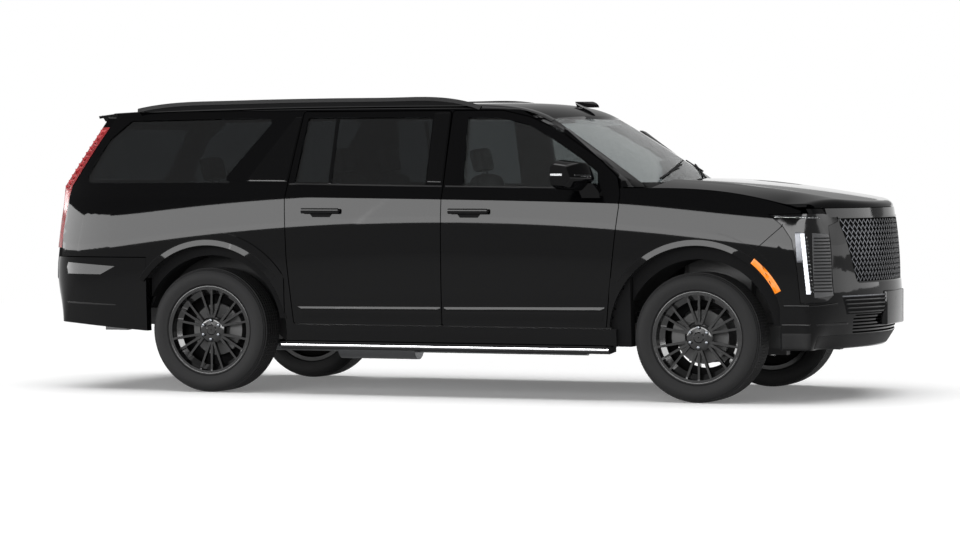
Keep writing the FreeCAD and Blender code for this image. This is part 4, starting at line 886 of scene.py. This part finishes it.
def spoiler_fin(sign):
    """A short upright plate under an end of the spoiler."""
    low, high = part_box("spoiler")
    edge = skin_hit("spoiler", (-4, sign * 0.706, high.z - 0.024), (1, 0, 0))
    rear_x = edge.x if edge else low.x + 0.07
    shape = bmesh.new()
    outline = ((0.002, 0.022), (0.03, 0.064), (0.12, 0.06), (0.12, 0.024))
    shape.faces.new([shape.verts.new((rear_x + ahead, sign * 0.696, high.z - drop))
                     for ahead, drop in outline])
    rounded(extruded(shape, (0, sign * 0.018, 0)), shape.edges[:], 0.003)
    return soften(shape)


for side, sign in SIDES:
    piece("roof_edge_" + side, roof_edge(sign), "root", *PAINT)
for side, sign in SIDES:
    piece("rail_base_" + side, rail_base(sign), "root", felt_and_painted_shade, "gloss_black")
for side, sign in SIDES:
    piece("spoiler_fin_" + side, spoiler_fin(sign), bodies["spoiler"], *PAINT)

# Lower front: valance, ledges, intake louvres before a dark backing, and the plate holder

laid("front_valance", "bumper_front", "front", rect(-880, 880, 352, 432), *TRIM, 2, 96, 4, 1)
for side, sign in SIDES:
    laid("valance_side_" + side, "bumper_front", side, rect(2384, 2560, 352, 452), *TRIM,
         1, 20, 6, 0.5)
    laid("ledge_side_" + side, "bumper_front", side, rect(2384, 2560, 497, 511), *GLOSS,
         7, 20, 2, 3)
    laid("ledge_corner_" + side, "bumper_front", "front",
         flipped(sign, [(905, 497), (650, 500), (650, 514), (905, 511)]), *GLOSS, 7, 20, 2, 3)


def low_bar(z, tall, half, depth, inset):
    """A bar across the bumper's lower intake."""
    return nose_bar(z, z + tall, half, half, depth, inset, columns=48, face_x=bumper_x)


def intake_half(z):
    """Half width of the upper intake at a height."""
    return 640 + 0.42 * (z - 470)


def intake_strip(z_low, z_high, thick_mm, bevel_mm=1.0, inset=0):
    """A strip laid across the upper intake, kept 4 mm behind the foremost place."""
    low, high = intake_half(z_low) - inset, intake_half(z_high) - inset
    strip = laid_shape("bumper_front", "front",
                       [(-low, z_low), (low, z_low), (high, z_high), (-high, z_high)],
                       thick_mm, 72, 1 if z_high - z_low < 20 else 8, bevel_mm)
    for vertex in strip.verts:
        vertex.co.x = min(vertex.co.x, cad_bounds[1][0] - 4 * MM)
    return strip


plate_holder_mm = (56, 450, 222)
louvres = [low_bar(452 + 22 * i, 10, 556 + 11 * i, 22, 10) for i in range(5)]
louvres += [intake_strip(574 + 26 * i, 583 + 26 * i, 7, inset=14) for i in range(4)]
piece("intake_louvres", joined(louvres), "root", *GLOSS)
backing = [low_bar(436, 128, 560, 4, 48), intake_strip(566, 676, 0.6, 0)]
piece("intake_backing", joined(backing), "root", felt_and_painted_shade, "trim")
holder = bar_shape(plate_holder_mm, (cad_bounds[1][0] / MM - 28.1, 0, 594), 8)
piece("plate_holder", holder, "root", *GLOSS)
piece("intake_frame", intake_strip(676, 686, 5), "root", grille_black, "gloss_black")

# Sides: ledges under the lamps, the rear bumper's shoulders, arch flares and the painted shadow
# lines round them, and the joint lines between the fenders and the front bumper

flare_wide_mm, shadow_wide_mm = 36, 8
for side, sign in SIDES:
    walls = ("fender_" + side, "body_side_" + side)
    laid("lamp_ledge_" + side, "bumper_front", side, rect(2396, 2600, 616, 632), *PAINT,
         7, 32, 2, 3)
    laid("lamp_ledge_front_" + side, "bumper_front", "front",
         flipped(sign, [(905, 616), (775, 628), (775, 644), (905, 632)]), *PAINT, 7, 20, 2, 3)
    laid("bumper_shoulder_" + side, "bumper_rear", side,
         [(-2680, 786), (-2372, 784), (-2266, 839), (-2650, 863)], *PAINT, ramp(8, 0.6), 30, 5, 0)
    for end, (axle_mm, radius, first, last) in ARCHES.items():
        def arch_place(u, v, low=radius + 3, wide=flare_wide_mm):
            return round_axle(axle_mm, last + (first - last) * u, low + wide * v)

        laid("arch_flare_%s_%s" % (end, side), walls, side, arch_place, *PAINT,
             ramp(3.8, 0.6, 0.3), 60, 4, 0)
        # Painted shade: a thin dull black strip round each flare stands for the shadow in the
        # groove above it.
        laid("arch_shadow_%s_%s" % (end, side), walls, side,
             lambda u, v: arch_place(u, v, radius + 3 + flare_wide_mm, shadow_wide_mm),
             felt_and_painted_shade, "paint", 0.5, 60, 1, 0)
    laid("wing_joint_" + side, ("fender_" + side, "bumper_front"), side,
         [(2157, 922), (2398, 1139), (2395, 1143), (2154, 926)], felt_and_painted_shade, "paint", 0.4, 24, 1, 0)

# Wheels: tyres with grooved treads, nuts and caps, and splash shields behind them

# Sections in metres, as distances along the axle and radii; the tyre's is its inner half
TYRE_HALF = [(-0.112, 0.2797), (-0.117, 0.300), (-0.127, 0.309), (-0.1335, 0.332),
             (-tyre_width / 2, 0.352), (-0.136, 0.371), (-0.1315, 0.384), (-0.1285, 0.390),
             (-0.1255, 0.396), (-0.116, 0.405), (-0.104, 0.4105), (-0.072, 0.4115),
             (-0.066, 0.4115), (-0.036, 0.412), (-0.030, 0.412), (-0.003, 0.412)]
RIM_LIP = [(0.1205, 0.288), (0.1222, 0.289), (0.1228, 0.292), (0.1222, 0.295), (0.1205, 0.296)]
SHIELD_OUTER = 0.262
SHIELD_INNER = {"front": 0.205, "rear": 0.066}


def turned(section, steps=64, closed=False, angle=34):
    """A shape turned round the Y axis from (distance along Y, radius) pairs."""
    shape = bmesh.new()
    ring = [shape.verts.new((0, a, r)) for a, r in section]
    ends = ring[1:] + ring[:1] if closed else ring[1:]
    edges = [shape.edges.new((p, q)) for p, q in zip(ring, ends)]
    bmesh.ops.spin(shape, geom=ring + edges, cent=(0, 0, 0), axis=(0, 1, 0), dvec=(0, 0, 0),
                   angle=2 * math.pi, steps=steps, use_merge=True)
    bmesh.ops.remove_doubles(shape, verts=shape.verts, dist=1e-6)
    bmesh.ops.recalc_face_normals(shape, faces=shape.faces)
    return soften(shape, angle) if angle else shape


def tyre_shape():
    """A tyre round the Y axis, its outer side towards +Y, with tread and shoulder blocks."""
    def radius(face):
        centre = face.calc_center_median()
        return math.hypot(centre.x, centre.z)

    shape = turned(TYRE_HALF + [(-a, r) for a, r in reversed(TYRE_HALF)], 132, True, None)
    blocks = [f for f in shape.faces if radius(f) > 0.409 and f.calc_area() > 3e-4]
    bmesh.ops.inset_individual(shape, faces=blocks, thickness=0.0016, depth=0.0048)
    shoulder = [f for f in shape.faces if 0.3985 < radius(f) < 0.404 and f.calc_area() > 1.5e-4]
    bmesh.ops.inset_individual(shape, faces=shoulder, thickness=0.0024, depth=-0.002)
    return soften(shape, 30)


def placed(shape, centre, sign):
    """Puts a wheel piece, drawn round the Y axis for the left, on its corner."""
    if sign < 0:
        bmesh.ops.scale(shape, verts=shape.verts, vec=(1, -1, 1))
        bmesh.ops.reverse_faces(shape, faces=shape.faces)
    bmesh.ops.translate(shape, verts=shape.verts, vec=centre)
    return shape


def rim_reach(rim, centre, x, z, sign):
    """How far the rim's outer face stands from the wheel's middle at a place."""
    face = skin_hit(rim, centre + Vector((x, sign * 0.4, z)), (0, -sign, 0))
    return abs(face.y - centre.y) if face else 0.06


def wheel_nuts(rim, centre, sign):
    """Six nuts on a circle round the hub."""
    nuts = []
    for i in range(6):
        angle = math.radians(60 * i + 30)
        x, z = 0.0635 * math.cos(angle), 0.0635 * math.sin(angle)
        reach = rim_reach(rim, centre, x, z, sign)
        nut = turned([(reach - 0.004, 0.0115), (reach + 0.012, 0.0115), (reach + 0.017, 0.009),
                      (reach + 0.019, 0.0)], steps=12)
        bmesh.ops.translate(nut, verts=nut.verts, vec=(x, 0, z))
        nuts.append(nut)
    return joined(nuts)


def hub_cap(rim, centre, sign):
    """A plain flat cap over the hub."""
    reach = rim_reach(rim, centre, 0, 0, sign)
    return turned([(reach - 0.004, 0.033), (reach + 0.001, 0.033), (reach + 0.0035, 0.030),
                   (reach + 0.005, 0.0)], steps=40)


def splash_shield(inner, outer):
    """A thin plate behind the brake, with both edges turned."""
    return turned([(-0.086, inner - 0.004), (-0.080, inner), (-0.080, outer - 0.017),
                   (-0.072, outer), (-0.074, outer + 0.001), (-0.083, outer - 0.016),
                   (-0.083, inner), (-0.089, inner - 0.004)], closed=True)


for end in ("front", "rear"):
    for side, sign in SIDES:
        corner = end + "_" + side
        tyre, rim = "tyre_" + corner, "rim_" + corner
        centre = middle(tyre)
        tread = placed(tyre_shape(), centre, sign)
        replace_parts(piece(tyre + "_tread", tread, bodies[tyre], rubber, "tyre"), tyre)
        holder = "knuckle_" + side if end == "front" else "root"
        for name, shape, *rest in (
                ("nuts_", wheel_nuts(rim, centre, sign), bodies[rim], bright_nut, "steel"),
                ("cap_", hub_cap(rim, centre, sign), bodies[rim], *GLOSS),
                ("rim_lip_", turned(RIM_LIP, steps=96), bodies[rim], black_alloy, "wheel"),
                ("splash_shield_", splash_shield(SHIELD_INNER[end], SHIELD_OUTER), holder,
                 felt_and_painted_shade, "chassis")):
            piece(name + corner, placed(shape, centre, sign), *rest)

# Seats: crowned cushions with sewn channels, on moulded bases

cabin_floor = 0.5803
cushion_top = cabin_floor + 0.33
back_lean = math.radians(-14)
quarter_turn = math.radians(90)


def pad(size_m, place, turn, crown=0.022, channels=5):
    """One crowned cushion with channels sewn across its face."""
    shape = bmesh.new()
    bmesh.ops.create_cube(shape, size=1.0)
    bmesh.ops.subdivide_edges(shape, edges=shape.edges[:], cuts=15, use_grid_fill=True)
    for vertex in shape.verts:
        u, v, w = vertex.co * 2
        pull = 1 - 0.05 * (abs(u) * abs(v)) ** 2 - 0.04 * (abs(v) * abs(w)) ** 2
        x, y, z = (vertex.co[i] * size_m[i] * pull for i in range(3))
        if abs(w) > 0.99:
            bulge = crown * max(0.0, (1 - u ** 4) * (1 - v ** 4))
            seam = abs(math.sin(math.pi * channels * u / 2))
            dip = 0.007 * math.exp(-(seam / 0.18) ** 2) if abs(v) < 0.62 else 0
            z += math.copysign(bulge - dip, w)
        else:
            side_bulge = 0.4 * crown * (1 - w * w)
            x += math.copysign(side_bulge, u) if abs(u) > 0.99 else 0
            y += math.copysign(side_bulge, v) if abs(v) > 0.99 else 0
        vertex.co = (x, y, z)
    bmesh.ops.smooth_vert(shape, verts=shape.verts, factor=0.4, use_axis_x=True, use_axis_y=True,
                          use_axis_z=True)
    bmesh.ops.transform(shape, verts=shape.verts, matrix=Matrix.Translation(place) @ turn)
    return soften(shape, 60)


def headrest_post(place, lean):
    """A thin round post, upright before it leans with the seat's back."""
    post = turned([(-0.05, 0.006), (0.05, 0.006)], steps=12)
    bmesh.ops.rotate(post, verts=post.verts, matrix=Matrix.Rotation(quarter_turn, 3, "X"))
    bmesh.ops.transform(post, verts=post.verts, matrix=Matrix.Translation(place) @ lean)
    return post


for node, x, places, width, back_height in (
        ("front_seats", 0.551, (-0.38, 0.38), 0.52, 0.69),
        ("second_seats", -0.15, (-0.4, 0.4), 0.52, 0.69),
        ("third_seat", -1.18, (-0.32, 0.32), 0.50, 0.63)):
    pads, bases = [], []
    lean = Matrix.Rotation(back_lean, 4, "Y")
    back_turn = lean @ Matrix.Rotation(quarter_turn, 4, "Y")
    for y in places:
        foot = Vector((x - 0.43, y, cushion_top - 0.13))
        pads.append(pad((0.50, width - 0.02, 0.125), (x - 0.26, y, cushion_top - 0.082),
                        Matrix.Identity(4)))
        pads.append(pad((back_height - 0.06, width - 0.03, 0.085),
                        foot + lean @ Vector((-0.06, 0, back_height / 2 + 0.04)), back_turn))
        pads.append(pad((0.15, 0.25, 0.075), foot + lean @ Vector((-0.06, 0, back_height + 0.12)),
                        back_turn, crown=0.012, channels=2))
        for shift in (-0.05, 0.05):
            place = foot + lean @ Vector((-0.06, shift, back_height + 0.03))
            bases.append(headrest_post(place, lean))
        place_mm = ((x - 0.26) / MM, y / MM, (cabin_floor + 0.087) / MM)
        bases.append(bar_shape((440, (width - 0.1) / MM, 170), place_mm, 20))
    cushions = piece(node + "_cushions", joined(pads), "root", hide, "leather")
    piece(node + "_frames", joined(bases), "root", soft_touch, "cabin")
    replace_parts(cushions, node)

# Steering wheel: a leather rim with three spokes and a plain boss, on its column

wheel_middle = (0.881, 0.38, 1.165)
column_way = Vector((-0.92, 0, 0.392))
rim_radius, rim_thick = 0.188, 0.0155
rim_shape = bmesh.new()
bmesh.ops.create_circle(rim_shape, segments=16, radius=rim_thick)
bmesh.ops.rotate(rim_shape, verts=rim_shape.verts, matrix=Matrix.Rotation(quarter_turn, 3, "X"))
bmesh.ops.translate(rim_shape, verts=rim_shape.verts, vec=(rim_radius, 0, 0))
bmesh.ops.spin(rim_shape, geom=rim_shape.verts[:] + rim_shape.edges[:], cent=(0, 0, 0),
               axis=(0, 0, 1), dvec=(0, 0, 0), angle=2 * math.pi, steps=48, use_merge=True)
bmesh.ops.remove_doubles(rim_shape, verts=rim_shape.verts, dist=1e-6)
bmesh.ops.recalc_face_normals(rim_shape, faces=rim_shape.faces)
spokes = [bar_shape((160, 34, 12), (100 * math.cos(a), 100 * math.sin(a), -4), 5,
                    Matrix.Rotation(a, 3, "Z"))
          for a in (quarter_turn, -quarter_turn, math.pi)]
boss = bar_shape((120, 150, 46), (0, 0, -8), 18)
column = bar_shape((50, 50, 120), (0, 0, -80), 10)
hand_wheel = joined([soften(rim_shape, 60)] + spokes + [boss, column])
tilt = column_way.to_track_quat("Z", "Y").to_matrix().to_4x4()
bmesh.ops.transform(hand_wheel, verts=hand_wheel.verts,
                    matrix=Matrix.Translation(wheel_middle) @ tilt)
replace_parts(piece("hand_wheel", hand_wheel, "steering_wheel", hide, "leather"), "steering_wheel")

# Wipers: an arm and a blade on each half of the windscreen

def wiper_rod(start, end, radius):
    """A round rod between two places on the windscreen, each (height, distance across)."""
    ends = []
    for up, y in (start, end):
        hit = skin_hit("windscreen", (3, y, 1.416 + up * 0.45), (-1, 0, 0))
        ends.append((hit if hit else Vector((1.55, y, 1.42))) + Vector((0.008, 0, 0.014)))
    reach = ends[1] - ends[0]
    shape = bmesh.new()
    bmesh.ops.create_cone(shape, cap_ends=True, segments=12, radius1=radius, radius2=radius * 0.8,
                          depth=reach.length)
    turn = reach.to_track_quat("Z", "Y").to_matrix().to_4x4()
    bmesh.ops.transform(shape, verts=shape.verts,
                        matrix=Matrix.Translation((ends[0] + ends[1]) / 2) @ turn)
    return soften(shape, 40)


wipers = []
for y_foot, y_tip in ((-0.62, 0.02), (0.02, 0.66)):
    wipers.append(wiper_rod((0, y_foot), (0.20, y_tip - 0.08), 0.007))
    wipers.append(wiper_rod((0.10, y_tip - 0.42), (0.26, y_tip + 0.10), 0.006))
piece("wipers", joined(wipers), "root", *TRIM)

# Tail: the plate in its recess, bars and bumper strips, reflectors, grooves and lamps

segment_foot_mm, segment_pitch_mm, segment_count = 1010, 38, 20
for name, node, *rest in (
        ("plate_recess", "liftgate", rect(-270, 270, 860, 1010), *TRIM, 1.5, 12, 6, 1),
        ("rear_plate", "liftgate", rect(-155, 155, 878, 992), plate_white, "trim", 4, 12, 6, 1),
        ("tailgate_bar", "liftgate", rect(-330, 330, 1030, 1052), chrome, "steel", 9, 24, 2, 3),
        ("tailgate_crease", "liftgate", rect(-780, 780, 1352, 1366), *GLOSS, 3, 40, 1, 1),
        ("rear_step", "bumper_rear", rect(-700, 700, 560, 600), *TRIM, 3, 40, 3, 1),
        ("rear_valance", "bumper_rear", rect(-680, 680, 478, 545), *TRIM, 4, 40, 4, 2)):
    laid(name, node, "rear", *rest)
for side, sign in SIDES:
    laid("rear_reflector_" + side, "bumper_rear", "rear", rect(640, 780, 632, 656, sign),
         red_lens, "tail_lens", 3, 10, 2, 1)
    laid("bumper_groove_" + side, "bumper_rear", side,
         [(-2660, 584), (-2262, 574), (-2262, 582), (-2660, 597)], *TRIM, 1.5, 20, 2, 0.5)
    segments = []
    for z in (segment_foot_mm + segment_pitch_mm * i for i in range(segment_count)):
        edge = 806 - max(0, z - waist_height_mm) * 0.145
        segments.append(laid_shape("tail_lamps", "rear",
                                   rect(edge + 6, edge + 34, z, z + 32, sign), 0.7, 2, 2, 0.3))
    piece("tail_lamp_segments_" + side, joined(segments), bodies["tail_lamps"], tail_glow,
          "tail_lens")

# Studio: a pale floor in a low white backdrop, with soft boxes low on the horizon, whose
# reflections are the grey bands on the vehicle's side

studio_radius, backdrop_height = 60, 6.5
white = linear("#ffffff")


def stage_piece(name, shape, material):
    """A piece of the studio, which isn't part of the vehicle."""
    made = linked(name, mesh_from(name, shape))
    made.data.materials.append(material)


# Matt floor paint: pale near the vehicle, and plain white far from it.
floor_paint = surface("pale floor paint", "#fbfbfb", 0.9, grain_mm=50, Specular_IOR_Level=0.1,
                      Emission_Color=white, Emission_Strength=0.16)
tree = floor_paint.node_tree
place = add_node(tree, "ShaderNodeTexCoord")
away = add_node(tree, "ShaderNodeVectorMath", {"operation": "LENGTH"},
                {"Vector": place.outputs["Object"]})
fade = add_node(tree, "ShaderNodeMapRange", {"From Min": 6.0, "From Max": 16.0},
                {"Value": away.outputs["Value"]})
plain = add_node(tree, "ShaderNodeEmission", {"Color": white})
blend = add_node(tree, "ShaderNodeMixShader", None,
                 {0: fade.outputs["Result"], 1: tree.nodes["Principled BSDF"].outputs[0],
                  2: plain.outputs[0]})
tree.links.new(blend.outputs[0], tree.nodes["Material Output"].inputs["Surface"])
floor_shape = bmesh.new()
bmesh.ops.create_circle(floor_shape, cap_ends=True, segments=96, radius=studio_radius)
stage_piece("studio_floor", floor_shape, floor_paint)

# White backdrop cloth: plain white to the camera, in mirrors and through glass, and no light.
backdrop_cloth = bpy.data.materials.new("white backdrop cloth")
backdrop_cloth.use_nodes = True
tree = backdrop_cloth.node_tree
tree.nodes.clear()
ray = add_node(tree, "ShaderNodeLightPath").outputs
seen = add_node(tree, "ShaderNodeMath", {"operation": "MAXIMUM"},
                {0: ray["Is Camera Ray"], 1: ray["Is Glossy Ray"]})
shown = add_node(tree, "ShaderNodeMath", {"operation": "MAXIMUM"},
                 {0: seen.outputs[0], 1: ray["Is Transmission Ray"]})
glow = add_node(tree, "ShaderNodeEmission", {"Color": white}, {"Strength": shown.outputs[0]})
add_node(tree, "ShaderNodeOutputMaterial", None, {"Surface": glow.outputs[0]})
backdrop_shape = bmesh.new()
bmesh.ops.create_circle(backdrop_shape, cap_ends=False, segments=96, radius=studio_radius)
raised = bmesh.ops.extrude_edge_only(backdrop_shape, edges=backdrop_shape.edges[:])
for vertex in [v for v in raised["geom"] if isinstance(v, bmesh.types.BMVert)]:
    vertex.co.z += backdrop_height
stage_piece("backdrop", backdrop_shape, backdrop_cloth)

# World: white to the camera and through glass, dim in reflections, and hardly any light
world = bpy.data.worlds.new("studio")
bpy.context.scene.world = world
world.use_nodes = True
tree = world.node_tree
sky = tree.nodes["Background"]
sky.inputs["Color"].default_value = white
ray = add_node(tree, "ShaderNodeLightPath").outputs
shine = add_node(tree, "ShaderNodeMath", {"operation": "MULTIPLY_ADD"}, {0: ray["Is Glossy Ray"]})
mirrored_strength, lit_strength = 0.3, 0.06
shine.inputs[1].default_value = mirrored_strength
shine.inputs[2].default_value = lit_strength
direct = add_node(tree, "ShaderNodeMath", {"operation": "MAXIMUM"},
                  {0: ray["Is Camera Ray"], 1: ray["Is Transmission Ray"]})
sight = add_node(tree, "ShaderNodeMath", {"operation": "MAXIMUM"},
                 {0: shine.outputs[0], 1: direct.outputs[0]})
tree.links.new(sight.outputs[0], sky.inputs["Strength"])


def soft_light(name, place, target, width, height, radiance):
    """A soft box of even radiance, not seen by the camera itself."""
    lamp = bpy.data.lights.new(name, "AREA")
    lamp.shape = "RECTANGLE"
    lamp.size, lamp.size_y = width, height
    lamp.energy = radiance * math.pi * width * height
    made = linked(name, lamp)
    made.location = place
    made.rotation_euler = (Vector(target) - Vector(place)).to_track_quat("-Z", "Y").to_euler()
    made.visible_camera = False
    return made


box_away, box_height, box_tall, box_radiance = 34, 6.5, 7.3, 15.5
for name, heading, width in (("side light", 279, 42), ("rear side light", 229.4, 22),
                             ("tail light box", 193.6, 22)):
    angle = math.radians(heading)
    box = soft_light(name, (box_away * math.cos(angle), box_away * math.sin(angle), box_height),
                     (0, 0, box_height), width, box_tall, box_radiance)
    box.visible_diffuse = False
front_box = soft_light("front light", (box_away, 0, 5.5), (0, 0, 5.5), 84, 7, 3.2)
front_box.visible_diffuse = False
fill = soft_light("side fill", (-4, -26, 7), (0, 0, 1), 30, 10, 3.2)
fill.visible_glossy = False
overhead = bpy.data.lights.new("overhead", "SUN")
overhead.energy = 2.6
overhead.angle = math.radians(70)
linked("overhead", overhead)
